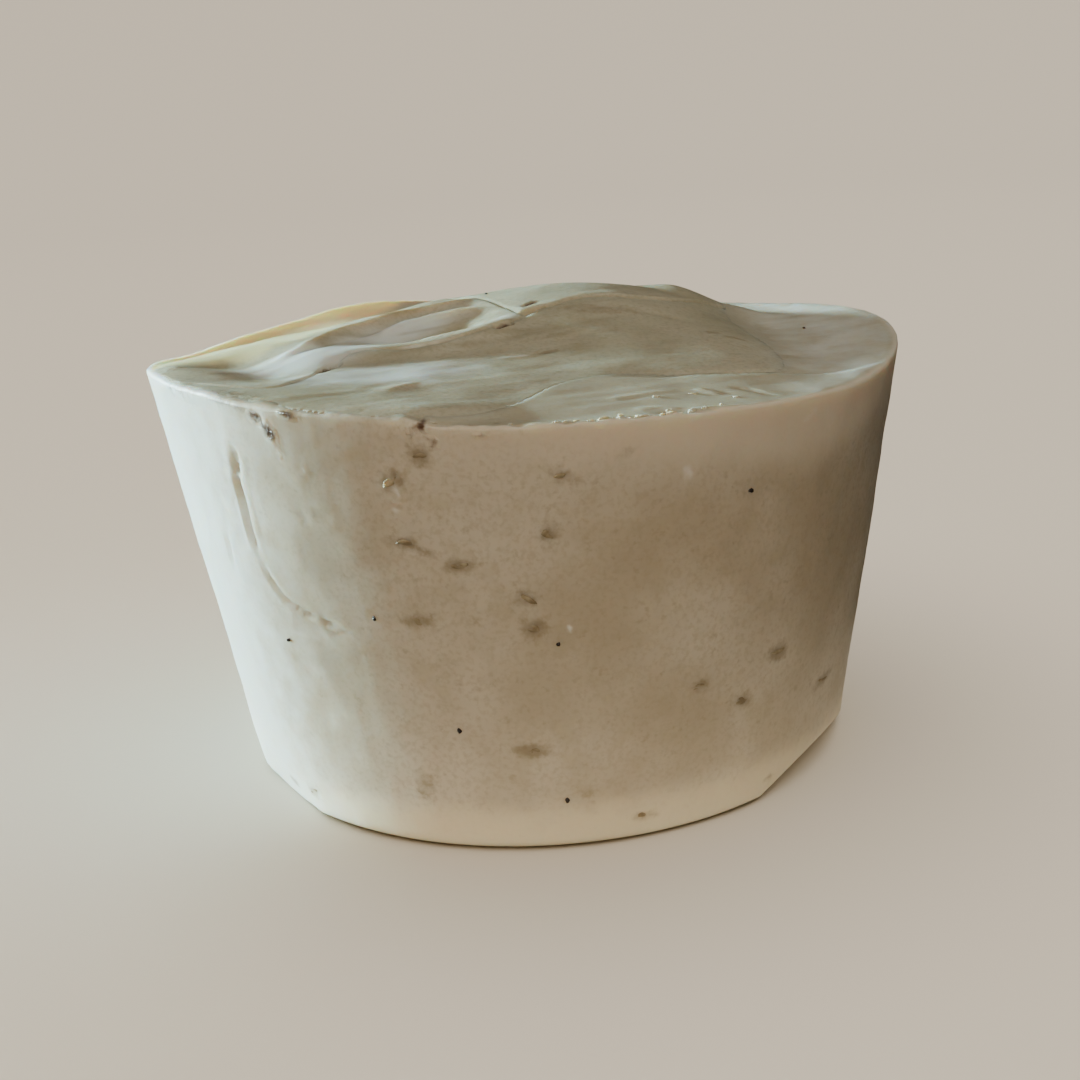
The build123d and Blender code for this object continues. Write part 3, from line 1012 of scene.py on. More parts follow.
@dataclass
class PouredBody:
    """The block of soap, poured into a tapered mould: base, wall, rim and ledge.

    Attributes:
        form: The puck's form, read from the frame.
        sides: Columns of faces round the wall.
        wall_rows: Rows of faces up the wall.
        top_rows: Rows of faces from the rim inwards.
        row: Width of a row on the top, in millimetres.
        rim_round: Rounding of the rim, in millimetres.
        base_round: Rounding of the base edge, in millimetres.
        tuck: How far the top sinks under the laps, in millimetres.
        inset: How far the wall lies inside the CAD's, so that its swells stay within it, in millimetres.
        torn_from: Azimuth at which the torn part of the rim begins, in degrees.
        torn_to: Azimuth at which it ends, in degrees.
    """

    form: PuckForm
    sides: int = 480
    wall_rows: int = 86
    top_rows: int = 40
    row: float = 0.45
    rim_round: float = 0.35
    base_round: float = 1.5
    tuck: float = 0.8
    inset: float = 0.14
    torn_from: float = -132
    torn_to: float = -55

    @property
    def height(self) -> float:
        """Height of the plain cone that the block starts from, in metres."""
        return 0.9 * self.form.high

    def build(self) -> Piece:
        """Models the block, fits it to the puck's form and works its marks.

        Returns:
            The finished mesh object.
        """
        form, height = self.form, self.height
        bpy.ops.mesh.primitive_cone_add(
            vertices=self.sides,
            radius1=form.radius(0.0),
            radius2=form.radius(height),
            depth=height,
            location=(0, 0, height / 2),
        )
        piece = bpy.context.object
        piece.name = "poured_soap"
        select_only(piece)
        bpy.ops.object.transform_apply(location=True)
        bpy.ops.object.mode_set(mode="EDIT")
        bpy.ops.mesh.select_mode(type="EDGE")
        pick_edges(piece, lambda a, b: max(a.z, b.z) < 1e-6)
        bpy.ops.mesh.bevel(offset=self.base_round * MM, segments=6)
        pick_edges(piece, lambda a, b: min(a.z, b.z) > height - 1e-6)
        bpy.ops.mesh.bevel(offset=self.rim_round * MM, segments=3)
        bpy.ops.mesh.select_mode(type="FACE")
        pick_disc(piece, 1)
        for width in [self.row] * self.top_rows + [4] * 3:  # fine rows on the ledge, coarse ones under the crown
            bpy.ops.mesh.inset(thickness=width * MM)
        pick_disc(piece, -1)
        for width in (0.6, 6.0, 12.0):  # rows of the flat base
            bpy.ops.mesh.inset(thickness=width * MM)
        bpy.ops.mesh.select_mode(type="EDGE")
        pick_edges(piece, lambda a, b: abs(a.z - b.z) > 0.5 * height)
        bpy.ops.mesh.subdivide(number_cuts=self.wall_rows)
        bpy.ops.object.mode_set(mode="OBJECT")
        bpy.ops.object.shade_smooth()
        self.fit(piece)
        self.work(piece)
        self.paint_masks(piece)
        return piece

    def fit(self, piece: Piece) -> None:
        """Moves the plain cone's points onto the wall, rim and ledge of the form.

        Args:
            piece: The cone.
        """
        form, height, edge = self.form, self.height, self.rim_round * MM
        points = positions(piece)
        azimuths, reach = polar(points)
        rim = form.rim(azimuths)
        top = points[:, 2] > height - 1.01 * edge
        risen = points[:, 2] * (rim - edge) / (height - edge)
        moved = np.where(top, form.radius(rim) / form.radius(height), form.radius(risen) / form.radius(points[:, 2]))
        points[:, :2] *= moved[:, None]
        level = crown_height(form, points[top])
        under = form.foot(azimuths[top]) - reach[top] * moved[top]
        level -= self.tuck * MM * eased((under - 0.7 * MM) / (1.0 * MM))
        risen[top] = level + points[top, 2] - height
        points[:, 2] = risen
        reach = polar(points)[1]
        skirt = form.skirt_reach(azimuths, points[:, 2])
        outer = reach > 0.8 * form.low_radius
        points[:, :2] *= np.where(outer, np.minimum(1, skirt / np.maximum(reach, 1e-9)), 1)[:, None]
        place(piece, points)

    def work(self, piece: Piece) -> None:
        """Gives the fitted block its hand-made unevenness and its marks.

        Args:
            piece: The fitted block.
        """
        form = self.form
        points = positions(piece)
        azimuths, reach = polar(points)
        out = np.column_stack((points[:, :2] / np.maximum(reach, 1e-6)[:, None], np.zeros(len(points))))
        wall = eased((reach - form.radius(points[:, 2]) + 0.5 * MM) / (0.5 * MM)) * eased(points[:, 2] / (1.5 * MM))
        shift = (unevenness(points, WALL_WAVES) - self.inset) * MM
        near = wall > 0.01
        for stroke in GOUGES:
            path = np.array([form.wall_point(*corner) for corner in stroke.path])
            shift[near] += stroke_rise(points[near], out[near], path, stroke)
        for pit in PITS:
            shift[near] += pit_rise(points[near], form.wall_point(*pit.place), pit)
        points += out * (shift * wall)[:, None]
        from_rim = form.radius(form.rim(azimuths)) - reach
        top = eased(from_rim / (0.4 * MM)) * (points[:, 2] > 20 * MM)
        torn = eased((azimuths - math.radians(self.torn_from)) / 0.3)
        torn *= eased((math.radians(self.torn_to) - azimuths) / 0.3)
        near_rim = hill(from_rim / (0.9 * MM))
        points[:, 2] += top * (0.04 + 0.10 * torn) * ripple(points, 1.3 * MM, 8) * near_rim * MM
        points[:, 2] = np.maximum(points[:, 2], 0)
        place(piece, points)

    def paint_masks(self, piece: Piece) -> None:
        """Marks where the soap is stained, scuffed or streaked, and where light, glow, highlights and shade are
        painted on it, for the finish to read.

        Args:
            piece: The finished block.
        """
        form = self.form
        points = positions(piece)
        masks = {name: patches_mask(points, rows, form.wall_spot) for name, rows in WALL_PATCHES.items()}
        masks["bruise"] = np.maximum(masks["bruise"], bran_halo(form, points))
        aired = eased((form.inside(points) - 0.1 * MM) / (1.2 * MM))
        azimuths = np.degrees(polar(points)[0])
        below = (form.rim(np.radians(azimuths)) - points[:, 2]) / MM
        # the open top, painted greyer and darker, partly as painted shade
        masks["aired"] = aired
        # painted glow of light coming through thin soap
        masks["clear"] = glow_mask(form, points)
        masks["streaked"] = streak_mask(points) * aired
        # painted glow of floor light on the base edge
        masks["skirt"] = eased(1.2 - points[:, 2] / (6.0 * MM))
        # painted glow of light coming through the rim, in a band under it
        masks["dried"] = eased(1.1 - below / 8.0) * np.interp(azimuths, *RIM_GLOW_ROUND) * (1 - aired)
        # painted light: the window's light on the wall's lit left side, and on the right of the top
        masks["frost"] = np.interp(azimuths, *PAINTED_LIGHT_ROUND) * (below > -0.2) + right_painted_light(points) * aired
        paint(piece, masks)


# ---------------- the laps of the crown


@dataclass
class CrownLap:
    """One lap of soft soap, spooned over the last one to make the crown.

    Attributes:
        form: The puck's form, read from the frame.
        node: Name of the CAD node that this lap stands for.
        over: Seams at which this lap lies on top of another.
        under: Seams under which this lap runs.
        width: Width of the faces, in millimetres.
        thickness: Thickness of the lap, in millimetres.
        lift: How far the lap lies above the top that it shares with the block, in millimetres.
        foot: Distance from the crown's foot over which the lap comes down to the ledge, in millimetres.
        tuck: How far the lap runs in under the one over it, in millimetres.
    """

    form: PuckForm
    node: str
    over: Sequence[Seam] = ()
    under: Sequence[Seam] = ()
    width: float = 0.25
    thickness: float = 0.9
    lift: float = 0.007
    foot: float = 0.5
    tuck: float = 1.5

    def build(self) -> Piece:
        """Models the lap: a sheet over its own part of the top, rolled at its edge and closed below.

        Returns:
            The finished mesh object.
        """
        span = 2 * self.form.span
        cells = int(span / (self.width * MM))
        bpy.ops.mesh.primitive_grid_add(x_subdivisions=cells, y_subdivisions=cells, size=span)
        piece = bpy.context.object
        piece.name = f"{self.node}_soap"
        select_only(piece)
        beyond = self.reach(positions(piece)) < 0
        bpy.ops.object.mode_set(mode="EDIT")
        bpy.ops.mesh.select_mode(type="VERT")
        bpy.ops.mesh.select_all(action="DESELECT")
        mesh = bmesh.from_edit_mesh(piece.data)
        for vert, out in zip(mesh.verts, beyond):
            vert.select_set(bool(out))
        bmesh.update_edit_mesh(piece.data)
        bpy.ops.mesh.delete(type="VERT")
        bpy.ops.object.mode_set(mode="OBJECT")
        points = positions(piece)
        points[:, 2] = self.heights(points)
        place(piece, points)
        closed = piece.modifiers.new("closed", "SOLIDIFY")
        closed.thickness, closed.offset = self.thickness * MM, -1
        select_only(piece)
        bpy.ops.object.modifier_apply(modifier=closed.name)
        bpy.ops.object.shade_smooth()
        self.paint_masks(piece)
        return piece

    def foot_room(self, flat: Array) -> Array:
        """Distance of points inside the crown's foot, in metres."""
        azimuths, reach = polar(flat)
        return self.form.foot(azimuths) - reach

    def reach(self, flat: Array) -> Array:
        """Finds where the lap's own sheet lies.

        Args:
            flat: Points laid flat, in metres.

        Returns:
            Their distance inside it in metres, negative beyond it.
        """
        room = [self.foot_room(flat)]
        room += [seam.room(flat)[0] + seam.roll * MM for seam in self.over]
        room += [self.tuck * MM - seam.room(flat)[0] for seam in self.under]
        return np.min(room, axis=0)

    def heights(self, points: Array) -> Array:
        """Works out the lap's top.

        Args:
            points: Points in metres, whose heights don't matter.

        Returns:
            Height of the lap's top at each point, in metres.
        """
        flat = points * FLAT
        heights = crown_height(self.form, flat) + self.lift * MM
        heights -= 0.05 * np.maximum(self.foot * MM - self.foot_room(flat), 0)
        for seam in self.over:
            room, strength = seam.room(flat)
            rolled = np.clip(1 - room / (seam.roll * MM), 0, 2)
            crest = hill(room / (5 * seam.roll * MM))
            heights += MM * (seam.proud * strength * crest - (0.1 + 0.35 * strength) * rolled**2)
        for seam in self.under:
            heights -= 0.35 * np.maximum(seam.room(flat)[0], 0)
        return np.minimum(heights, self.form.high - 0.02 * MM)

    def paint_masks(self, piece: Piece) -> None:
        """Marks where the crown is stained, streaked or bran shows, and where light, glow, highlights and shade are
        painted on it, for the finish to read.

        Args:
            piece: The finished lap.
        """
        points = positions(piece)
        masks = {name: patches_mask(points * FLAT, rows, top_spot) for name, rows in TOP_PATCHES.items()}
        masks["bruise"] = np.maximum(masks["bruise"], bran_halo(self.form, points))
        # painted light on the right of the top, added to the painted light patches on the lit left side
        masks["frost"] = np.maximum(masks["frost"], right_painted_light(points))
        # painted glow of light coming through thin soap
        masks["clear"] = glow_mask(self.form, points)
        masks["streaked"] = streak_mask(points)
        paint(piece, masks)


# ---------------- bran, seeds and crumbs


# Crumbs torn up along the rim: azimuth and height on the wall, with a length in millimetres.
RIM_CRUMBS: tuple[Triple, ...] = (
    (-86.8, 38.3, 0.5), (-85.1, 38.2, 0.8), (-83.9, 38.4, 0.45), (-82.2, 38.3, 0.6), (-80.7, 38.4, 0.9),
    (-79.6, 38.2, 0.5), (-78.1, 38.5, 0.7), (-76.9, 38.3, 0.4), (-75.4, 38.5, 0.95), (-74.3, 38.3, 0.5),
    (-72.6, 38.5, 0.65), (-71.2, 38.4, 0.8), (-69.9, 38.6, 0.4), (-68.3, 38.5, 0.7), (-66.4, 38.6, 0.5),
    (-102.1, 38.6, 0.4), (-97.8, 38.5, 0.35), (-92.4, 38.4, 0.4), (-133.5, 39.2, 0.7), (-130.8, 39.0, 0.45),
)


@dataclass
class Bits:
    """Small natural bits: copies of one rough lump, each with its own mesh, joined into one piece.

    Attributes:
        node: Name of the CAD node that they stand for.
        host: The soap that they sit in, to set them at its surface.
        size: Length, width and thickness of a typical bit, in millimetres.
        sink: Share of the thickness that lies under the surface.
        roughness: How uneven each is, as a share of its size.
        extras: More bits beside the solid ones: azimuth and height on the wall, with a length.
    """

    node: str
    host: BVHTree
    size: Triple
    sink: float
    roughness: float
    extras: Sequence[Triple] = ()

    def lump(self) -> Piece:
        """Models the one rough lump that all the bits are copied from.

        Returns:
            The lump, 1 m long.
        """
        bpy.ops.mesh.primitive_ico_sphere_add(subdivisions=3, radius=0.5)
        piece = bpy.context.object
        select_only(piece)
        bpy.ops.object.mode_set(mode="EDIT")
        bpy.ops.mesh.select_all(action="SELECT")
        bpy.ops.transform.resize(value=(1, 1, 0.9))
        bpy.ops.object.mode_set(mode="OBJECT")
        return piece

    def build(self, name: str) -> Piece:
        """Copies the lump to every place and joins the copies.

        Args:
            name: Name of the finished piece.

        Returns:
            The finished mesh object.
        """
        lump = self.lump()
        made = []
        rng = np.random.default_rng(len(name))
        for corners in islands(self.node):
            middle = corners.mean(axis=0)
            longest = np.linalg.svd(corners - middle)[2][0]
            made.append(self.copy(lump, middle, longest, 1.0, rng))
        for azimuth, height, length in self.extras:
            turn = math.radians(azimuth)
            reach = 34 * MM  # near the rim, from where it goes to the nearest soap
            middle = np.array((reach * math.cos(turn), reach * math.sin(turn), height * MM))
            level = np.array((-math.sin(turn), math.cos(turn), rng.normal(0, 0.5)))
            made.append(self.copy(lump, middle, level, length / self.size[0], rng))
        bpy.data.objects.remove(lump)
        select_only(made[0])
        for copy in made:
            copy.select_set(True)
        bpy.ops.object.join()
        piece = bpy.context.object
        piece.name = name
        bpy.ops.object.shade_smooth()
        return piece

    def copy(
        self, lump: Piece, middle: Array, along: Array, scale: float, rng: np.random.Generator
    ) -> Piece:
        """Makes one bit: a copy of the lump with its own uneven shape, set at the surface.

        Args:
            lump: The lump to copy.
            middle: About where the bit lies, in metres.
            along: Direction of its length.
            scale: Its length against a typical bit's.
            rng: Source of its unevenness.

        Returns:
            The new object.
        """
        place_on, normal = self.host.find_nearest(Vector(middle))[:2]
        out = np.array(normal)
        along = along - out * (along @ out)
        along /= np.linalg.norm(along)
        seed = int(rng.integers(1, 10**6))
        shape = positions(lump)
        uneven = 1 + self.roughness * ripple(shape, 0.9, seed) + 0.4 * self.roughness * ripple(shape, 0.4, seed + 1)
        size = np.array(self.size) * scale * rng.uniform(0.8, 1.2, 3) * MM
        local = shape * uneven[:, None] * size
        local[:, 1] += 0.25 * size[1] * (local[:, 0] / size[0]) ** 2 * rng.choice((-2, 2))
        lift = size[2] * (0.5 - self.sink)
        copy = lump.copy()
        copy.data = lump.data.copy()
        bpy.context.scene.collection.objects.link(copy)
        axes = np.vstack((along, np.cross(out, along), out))
        place(copy, np.array(place_on) + local @ axes + out * lift)
        return copy


# ---------------- finishes


@dataclass(frozen=True)
class Layer:
    """One colour laid over what is under it, where a noise or a painted mask says so.

    Attributes:
        colour: Its colour.
        noise: The noise that shapes it.
        low: Value below which there is none of it.
        high: Value above which there is all of it.
        share: How much it hides of what lies under it.
        mask: Name of the mask on the mesh that it follows, if it follows one.
    """

    colour: str
    noise: str
    low: float
    high: float
    share: float
    mask: str = ""


@dataclass(frozen=True)
class Relief:
    """Small unevenness of the surface, that a noise shapes.

    Attributes:
        noise: The noise.
        strength: 0 to 1.
        height: Its height, in millimetres.
        mask: Name of the mask on the mesh outside which there is none, if it follows one.
    """

    noise: str
    strength: float
    height: float
    mask: str = ""


@dataclass(frozen=True)
class Finish:
    """A natural matter, uneven in colour, in gloss and in its surface, with patterns of real sizes.

    Attributes:
        name: Name of the material.
        base: Its clean colour.
        layers: The colours laid over it, from the first to the last.
        rough: Its least and its greatest roughness.
        rough_by: The noise that its roughness follows.
        rough_from: The values of that noise that give the least and the greatest.
        noises: Name, size in millimetres and detail of each noise.
        fineness: How strong the noises' small detail is.
        ragged: Share of a noise that is added to a mask, which makes the mask's edge uneven.
        reliefs: The unevenness of its surface, from the first to the last.
        sockets: Other inputs of its shader, with their values.
    """

    name: str
    base: str
    layers: tuple[Layer, ...]
    rough: Point
    rough_by: str
    rough_from: Point
    noises: tuple[tuple[str, float, float], ...]
    fineness: float
    reliefs: tuple[Relief, ...]
    sockets: tuple[tuple[str, object], ...] = ()
    ragged: float = 0.8

    def make(self) -> bpy.types.Material:
        """Builds the node material.

        Returns:
            The material.
        """
        material, shader = new_material(self.name, dict(self.sockets))
        tree = material.node_tree
        where = add_node(tree, "ShaderNodeTexCoord", {}, {}).outputs["Object"]
        noise: dict[str, bpy.types.NodeSocket] = {}
        for name, size, detail in self.noises:
            settings = {"Scale": 1 / (size * MM), "Detail": detail, "Roughness": self.fineness}
            noise[name] = add_node(tree, "ShaderNodeTexNoise", settings, {"Vector": where}).outputs["Fac"]
        marks = {part.mask for part in (*self.layers, *self.reliefs) if part.mask}
        mask = {
            name: add_node(tree, "ShaderNodeAttribute", {"attribute_name": name}, {}).outputs["Fac"]
            for name in sorted(marks)
        }
        under: dict[int, bpy.types.NodeSocket] = {}
        for layer in self.layers:
            amount = noise[layer.noise]
            if layer.mask:
                settings = {"operation": "MULTIPLY_ADD", 1: self.ragged}
                amount = add_node(tree, "ShaderNodeMath", settings, {0: amount, 2: mask[layer.mask]}).outputs[0]
            settings = {"interpolation_type": "SMOOTHSTEP", "From Min": layer.low, "From Max": layer.high}
            settings["To Max"] = layer.share
            share = add_node(tree, "ShaderNodeMapRange", settings, {"Value": amount}).outputs["Result"]
            settings = {"data_type": "RGBA", 6: linear(self.base), 7: linear(layer.colour)}
            under = {6: add_node(tree, "ShaderNodeMix", settings, {0: share, **under}).outputs[2]}
        tree.links.new(under[6], shader.inputs["Base Color"])
        ends = ("From Min", "From Max", "To Min", "To Max")
        settings = dict(zip(ends, (*self.rough_from, *self.rough)))
        rough = add_node(tree, "ShaderNodeMapRange", settings, {"Value": noise[self.rough_by]}).outputs["Result"]
        tree.links.new(rough, shader.inputs["Roughness"])
        facing: dict[str, bpy.types.NodeSocket] = {}
        for relief in self.reliefs:
            height = noise[relief.noise]
            if relief.mask:
                links = {0: mask[relief.mask], 1: height}
                height = add_node(tree, "ShaderNodeMath", {"operation": "MULTIPLY"}, links).outputs[0]
            settings = {"Strength": relief.strength, "Distance": relief.height * MM}
            bump = add_node(tree, "ShaderNodeBump", settings, {"Height": height, **facing})
            facing = {"Normal": bump.outputs["Normal"]}
        tree.links.new(facing["Normal"], shader.inputs["Normal"])
        return material


@dataclass(frozen=True)
class SoapFinish(Finish):
    """Cold-process tallow soap with ground oat bran, poured soft and cured on a shelf.

    Cured soap is waxy: a satin surface, light that goes a few millimetres in and warms on its way, cloudy
    patches where fat and water set at different rates, and bran that shows as blurred brown marks under
    the skin. Where air dried it, it is duller, and its top is greyer and darker, partly as painted shade of
    the top; where bran oil stained it, it crumbles.
    """

    rough: Point = (0.39, 0.56)
    rough_by: str = "mottle"
    rough_from: Point = (0.3, 0.7)
    # Curd is really about 0.1 mm across and is drawn at 0.45 mm, because finer than that it doesn't show.
    noises: tuple[tuple[str, float, float], ...] = (
        ("clouds", 14.0, 3.0), ("mottle", 2.6, 4.0), ("ragged", 0.9, 3.0), ("curd", 0.45, 2.0),
    )
    fineness: float = 0.55
    reliefs: tuple[Relief, ...] = (
        Relief("mottle", 0.3, 0.1), Relief("ragged", 0.9, 0.5, "stain"), Relief("curd", 0.3, 0.03),
    )
    sockets: tuple[tuple[str, object], ...] = (
        ("IOR", 1.46), ("Specular IOR Level", 0.4), ("Subsurface Weight", 0.55), ("Subsurface Scale", 3.2 * MM),
        ("Subsurface Radius", (1.0, 0.62, 0.38)),
    )


@dataclass(frozen=True)
class BitFinish(Finish):
    """Dry plant matter or dried soap: matt, blotched, and grained about as finely as broken husk is."""

    rough_by: str = "grain"
    rough_from: Point = (0.0, 1.0)
    noises: tuple[tuple[str, float, float], ...] = (("blotch", 0.9, 3.0), ("grain", 0.2, 2.0))
    fineness: float = 0.5
    reliefs: tuple[Relief, ...] = (Relief("grain", 0.4, 0.05),)


# Colours of the soap's marks and of the light and shade painted on it, which the block and the crown share. A mask's
# low and high values are 0.4 above what they would be alone, because the noise added to it is 0.4 on average.
SOAP_MARKS: tuple[Layer, ...] = (
    Layer("#e4eae4", "mottle", 0.45, 1.25, 0.9, "frost"),  # painted light: the cool pale window light on the lit left side, and on the right of the top
    Layer("#877d5e", "mottle", 0.55, 1.35, 0.6, "streaked"),  # bran dust drawn out by the spoon
    Layer("#f8ecb4", "mottle", 0.45, 1.2, 0.95, "clear"),  # painted glow of light coming through thin soap
    Layer("#8c7d5f", "ragged", 0.5, 1.2, 0.65, "bruise"),  # bran that shows through the skin, and painted shade in hollows and a crevice of the crown
    Layer("#553a2a", "ragged", 0.65, 1.25, 0.92, "stain"),  # brown where bran oil came out, and painted shade along the crown's slits
    Layer("#efefe6", "ragged", 0.6, 1.3, 0.8, "scuff"),  # dry soap, scuffed white, and painted highlights along ridges and the gouge's edge
)

# Tallow soap poured into a mould: smooth and pale where the mould held it and cloudy inside, with painted glow under
# the rim and on the base edge, and painted shade on its open top.
POURED_SOAP = SoapFinish(
    "poured_tallow_soap",
    "#d3ccb8",
    (
        Layer("#beb49c", "clouds", 0.35, 0.68, 1.0),  # cloudy patches
        Layer("#bcb69e", "clouds", 0.55, 1.1, 0.92, "aired"),  # the open top, greyer and darker: its air-dried tone, partly painted shade of the top
        Layer("#8d8058", "mottle", 0.5, 0.78, 0.28),  # bran deep under the skin
        Layer("#7d7150", "ragged", 0.6, 0.78, 0.2),  # bran dust
        Layer("#aca184", "curd", 0.4, 0.72, 0.36),  # grain of the curd
        Layer("#e9e0c2", "mottle", 0.5, 1.3, 0.8, "skirt"),  # painted glow of floor light on the base edge
        Layer("#e6dfca", "clouds", 0.5, 1.3, 0.8, "dried"),  # painted glow of light coming through the rim, under it
        *SOAP_MARKS,
    ),
)

# The same soap spooned on as it thickened and dried in the open air: duller and coarser in its grain, and greyer and
# darker, partly as painted shade of the top.
SPOONED_SOAP = SoapFinish(
    "spooned_tallow_soap",
    "#bfb9a1",
    (
        Layer("#aba68c", "clouds", 0.35, 0.68, 1.0),  # cloudy patches
        Layer("#8d8058", "mottle", 0.5, 0.78, 0.24),  # bran deep under the skin
        Layer("#7d7150", "ragged", 0.58, 0.75, 0.22),  # bran dust
        Layer("#989377", "curd", 0.4, 0.7, 0.42),  # grain of the curd
        *SOAP_MARKS,
    ),
    rough=(0.43, 0.6),
)


def blotches(colour: str) -> tuple[Layer, ...]:
    """The second colour of a small bit, in soft blotches."""
    return (Layer(colour, "blotch", 0.35, 0.65, 1.0),)


# Light goes about 1 mm into thin husk and thin shreds of soap.
THIN = (("Subsurface Weight", 0.4), ("Subsurface Scale", 1.0 * MM), ("Subsurface Radius", (1.0, 0.7, 0.45)))
# Husk of oats, milled and soaked in the soap: torn, matt, and softened in colour by the skin over it.
OAT_BRAN = BitFinish("oat_bran_husk", "#aea181", blotches("#8a7b5c"), (0.45, 0.65), sockets=THIN)
# Small dried seed hulls: hard, almost black, with a faint gloss.
SEED_HULL = BitFinish("dried_seed_hull", "#2a211b", blotches("#120d0a"), (0.35, 0.55))
# Shreds of soap torn off and dried right through: pale, chalky and dull.
SOAP_CRUMB = BitFinish("dry_soap_crumb", "#cdc6af", blotches("#b3aa8e"), (0.5, 0.7), sockets=THIN)


# ---------------- the studio


@dataclass(frozen=True)
class Lamp:
    """A square soft light that faces the object.

    Attributes:
        name: Its name.
        azimuth: Its azimuth, in degrees.
        elevation: Its elevation, in degrees.
        far: Its distance, in millimetres.
        side: Its side, in millimetres.
        power: Its power, in watts.
        colour: Its colour.
    """

    name: str
    azimuth: float
    elevation: float
    far: float
    side: float
    power: float
    colour: str

    def build(self, lit: Iterable[Piece]) -> None:
        """Adds the light to the scene.

        Args:
            lit: All that it lights.
        """
        data = bpy.data.lights.new(self.name, "AREA")
        data.size = self.side * MM
        data.energy = self.power
        data.color = linear(self.colour)[:3]
        light = bpy.data.objects.new(self.name, data)
        turn, rise, far = math.radians(self.azimuth), math.radians(self.elevation), self.far * MM
        way = Vector((math.cos(turn) * math.cos(rise), math.sin(turn) * math.cos(rise), math.sin(rise)))
        light.location = way * far
        light.rotation_mode = "QUATERNION"
        light.rotation_quaternion = (-way).to_track_quat("-Z", "Y")
        bpy.context.scene.collection.objects.link(light)
        group = bpy.data.collections.new(f"lit_by_{self.name}")
        for piece in lit:
            group.objects.link(piece)
        light.light_linking.receiver_collection = group


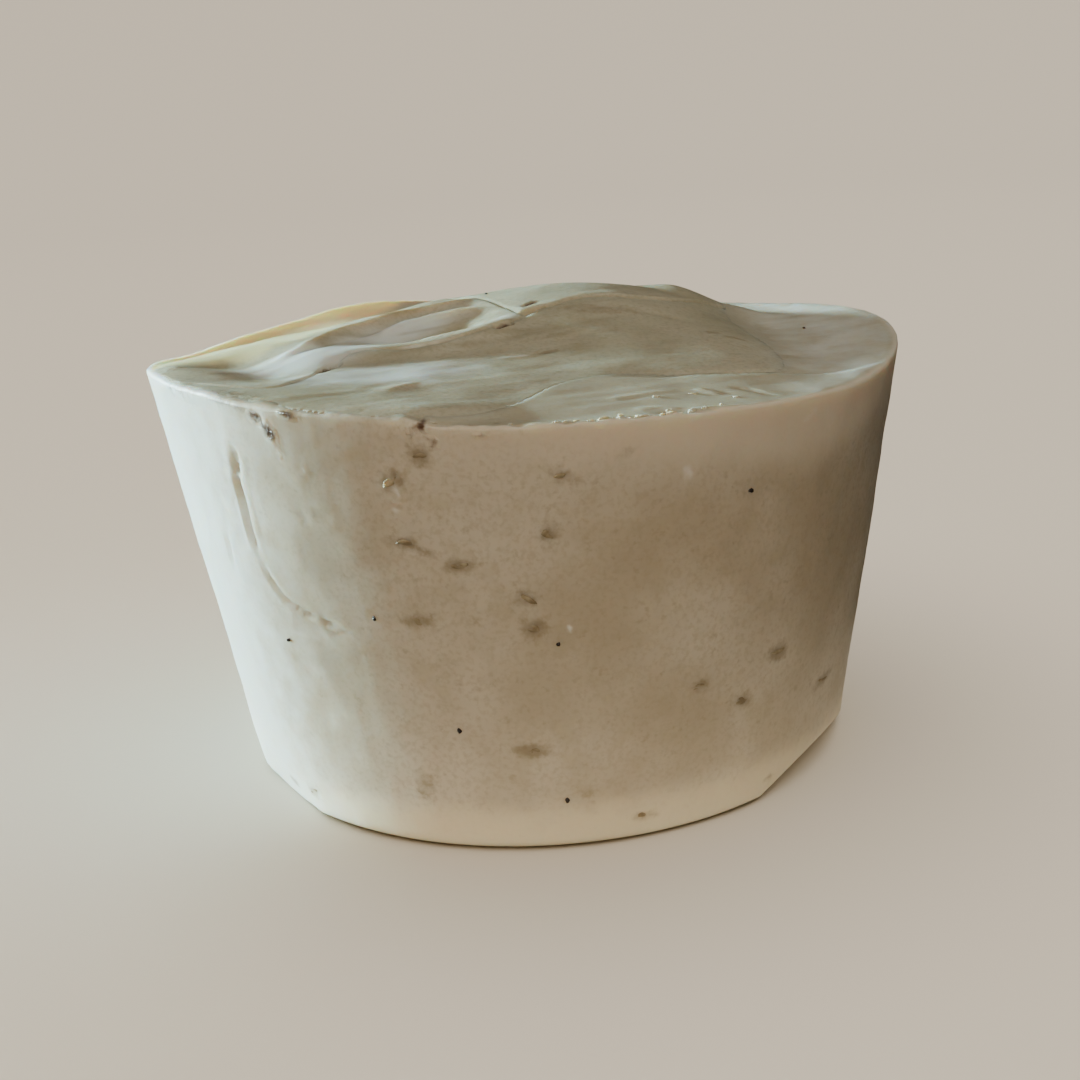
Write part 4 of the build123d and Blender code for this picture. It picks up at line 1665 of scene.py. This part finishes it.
@dataclass
class Studio:
    """A plain pale floor that sweeps up behind, soft lights and the camera.

    Attributes:
        stand: Where the camera stands, in millimetres.
        tilt: How far it looks down, in degrees.
        roll: How far it leans, in degrees.
        lens: Focal length on a 36 mm frame.
        on_object: A low window at the back left, a low lamp in front, and weak fills, for the object alone.
        on_room: The light for the cove and its floor alone.
    """

    stand: Triple = (0.20, -154.59, 65.30)
    tilt: float = 16.71
    roll: float = -3.87
    lens: float = 54.72
    on_object: tuple[Lamp, ...] = (
        Lamp("window", 157, 4, 1250, 300, 500.0, "#d8fcff"),
        Lamp("lamp", -98, 12, 1250, 600, 10.5, "#ffe8d2"),
        Lamp("side_fill", -20, 28, 1250, 700, 0.7, "#ffeedd"),
        Lamp("sky", 60, 62, 1250, 800, 3.2, "#fbf9f0"),
        Lamp("front_fill", -110, 45, 1250, 700, 3.0, "#fff2da"),
    )
    on_room: Lamp = Lamp("ceiling", -90, 90, 1700, 3400, 80.0, "#fff8ea")

    def build(self, pieces: Sequence[Piece]) -> None:
        """Makes the floor, the lights and the camera.

        Args:
            pieces: The object's pieces.
        """
        room = self.cove()
        self.world()
        for lamp in self.on_object:
            lamp.build(pieces)
        self.on_room.build(room)
        self.camera()

    @staticmethod
    def cove() -> list[Piece]:
        """Models the round cove: a floor that bends up into a wall all round, in metres.

        Returns:
            The cove and the middle of its floor, which alone throws light back on the object.
        """
        bpy.ops.mesh.primitive_cylinder_add(vertices=96, radius=1.8, depth=1.6, location=(0, 0, 0.8))
        cove = bpy.context.object
        cove.name = "studio_cove"
        select_only(cove)
        bpy.ops.object.transform_apply(location=True)
        bpy.ops.object.mode_set(mode="EDIT")
        pick_disc(cove, 1)
        bpy.ops.mesh.delete(type="ONLY_FACE")
        bpy.ops.mesh.select_mode(type="EDGE")
        pick_edges(cove, lambda a, b: max(a.z, b.z) < 1e-6)
        bpy.ops.mesh.bevel(offset=1.2, segments=36)
        bpy.ops.mesh.select_mode(type="FACE")
        pick_disc(cove, -1)
        bpy.ops.mesh.inset(thickness=0.555)
        bpy.ops.mesh.select_all(action="SELECT")
        bpy.ops.mesh.flip_normals()
        pick_disc(cove, 1)
        bpy.ops.mesh.separate(type="SELECTED")
        bpy.ops.object.mode_set(mode="OBJECT")
        floor = next(other for other in bpy.context.selected_objects if other is not cove)
        floor.name = "studio_floor"
        # plaster under matt emulsion paint: even in colour, with no gloss
        material = new_material("painted_plaster", {"Base Color": linear("#ddd4c7"), "Roughness": 0.9})[0]
        for part in (cove, floor):
            select_only(part)
            bpy.ops.object.shade_smooth()
            part.data.materials.append(material)
        cove.visible_diffuse = cove.visible_glossy = False
        return [cove, floor]

    @staticmethod
    def world() -> None:
        """Lights everything a little from all sides, in a warm white."""
        world = bpy.data.worlds.new("studio_room")
        world.use_nodes = True
        background = world.node_tree.nodes["Background"]
        background.inputs["Color"].default_value = linear("#e6d6bf")
        background.inputs["Strength"].default_value = 0.03
        bpy.context.scene.world = world

    def camera(self) -> None:
        """Stands the camera in front, a little above, with its lean."""
        tilt, roll = math.radians(self.tilt), math.radians(self.roll)
        forward = Vector((0, math.cos(tilt), -math.sin(tilt)))
        right = Vector((1, 0, 0))
        up = right.cross(forward)
        turned_right = math.cos(roll) * right + math.sin(roll) * up
        turned_up = -math.sin(roll) * right + math.cos(roll) * up
        data = bpy.data.cameras.new("camera")
        data.lens = self.lens
        data.sensor_width = 36.0
        data.clip_start, data.clip_end = 0.01, 20.0
        camera = bpy.data.objects.new("camera", data)
        turn = Matrix((turned_right, turned_up, -forward)).transposed()
        camera.matrix_world = Matrix.Translation(Vector(self.stand) * MM) @ turn.to_4x4()
        bpy.context.scene.collection.objects.link(camera)
        bpy.context.scene.camera = camera


# ---------------- putting it together


def dress(piece: Piece, material: bpy.types.Material, slot: str, *nodes: str) -> None:
    """Gives a piece its finish and its place in the frame.

    Args:
        piece: The finished piece.
        material: Its material.
        slot: The record's material slot; not used.
        nodes: The CAD nodes that it stands for.
    """
    piece.data.materials.clear()
    piece.data.materials.append(material)
    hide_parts(*nodes)
    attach(piece, BODY)
    triangles = sum(len(face.vertices) - 2 for face in piece.data.polygons)
    log.info("%s: %d triangles", piece.name, triangles)


def main() -> None:
    """Builds the puck and the studio."""
    logging.basicConfig(level=logging.INFO, format="%(message)s")
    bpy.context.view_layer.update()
    form = PuckForm(frame["nodes"])
    body = PouredBody(form).build()
    dress(body, POURED_SOAP.make(), "poured_soap", "poured_body")
    pieces = [body]
    spooned = SPOONED_SOAP.make()
    for lap in (
        CrownLap(form, "front_lap", under=(LEFT_SEAM, BACK_SEAM)),
        CrownLap(form, "left_lap", over=(LEFT_SEAM, SIDE_SEAM)),
        CrownLap(form, "back_lap", over=(BACK_SEAM,), under=(SIDE_SEAM,)),
    ):
        pieces.append(lap.build())
        dress(pieces[-1], spooned, "crown_soap", lap.node)
    skin = surface_tree(pieces)
    bran = Bits("bran_flakes", skin, (1.35, 0.6, 0.26), 0.82, 0.35)
    seeds = Bits("seed_specks", skin, (0.42, 0.32, 0.28), 0.45, 0.3)
    crumbs = Bits("rim_crumbs", skin, (0.62, 0.36, 0.24), 0.5, 0.5, RIM_CRUMBS)
    for bits, name, finish, slot in (
        (bran, "oat_bran", OAT_BRAN, "bran"),
        (seeds, "dark_seeds", SEED_HULL, "seed"),
        (crumbs, "soap_crumbs", SOAP_CRUMB, "crown_soap"),
    ):
        pieces.append(bits.build(name))
        dress(pieces[-1], finish.make(), slot, bits.node)
    Studio().build(pieces)


if __name__ == "__main__":
    main()
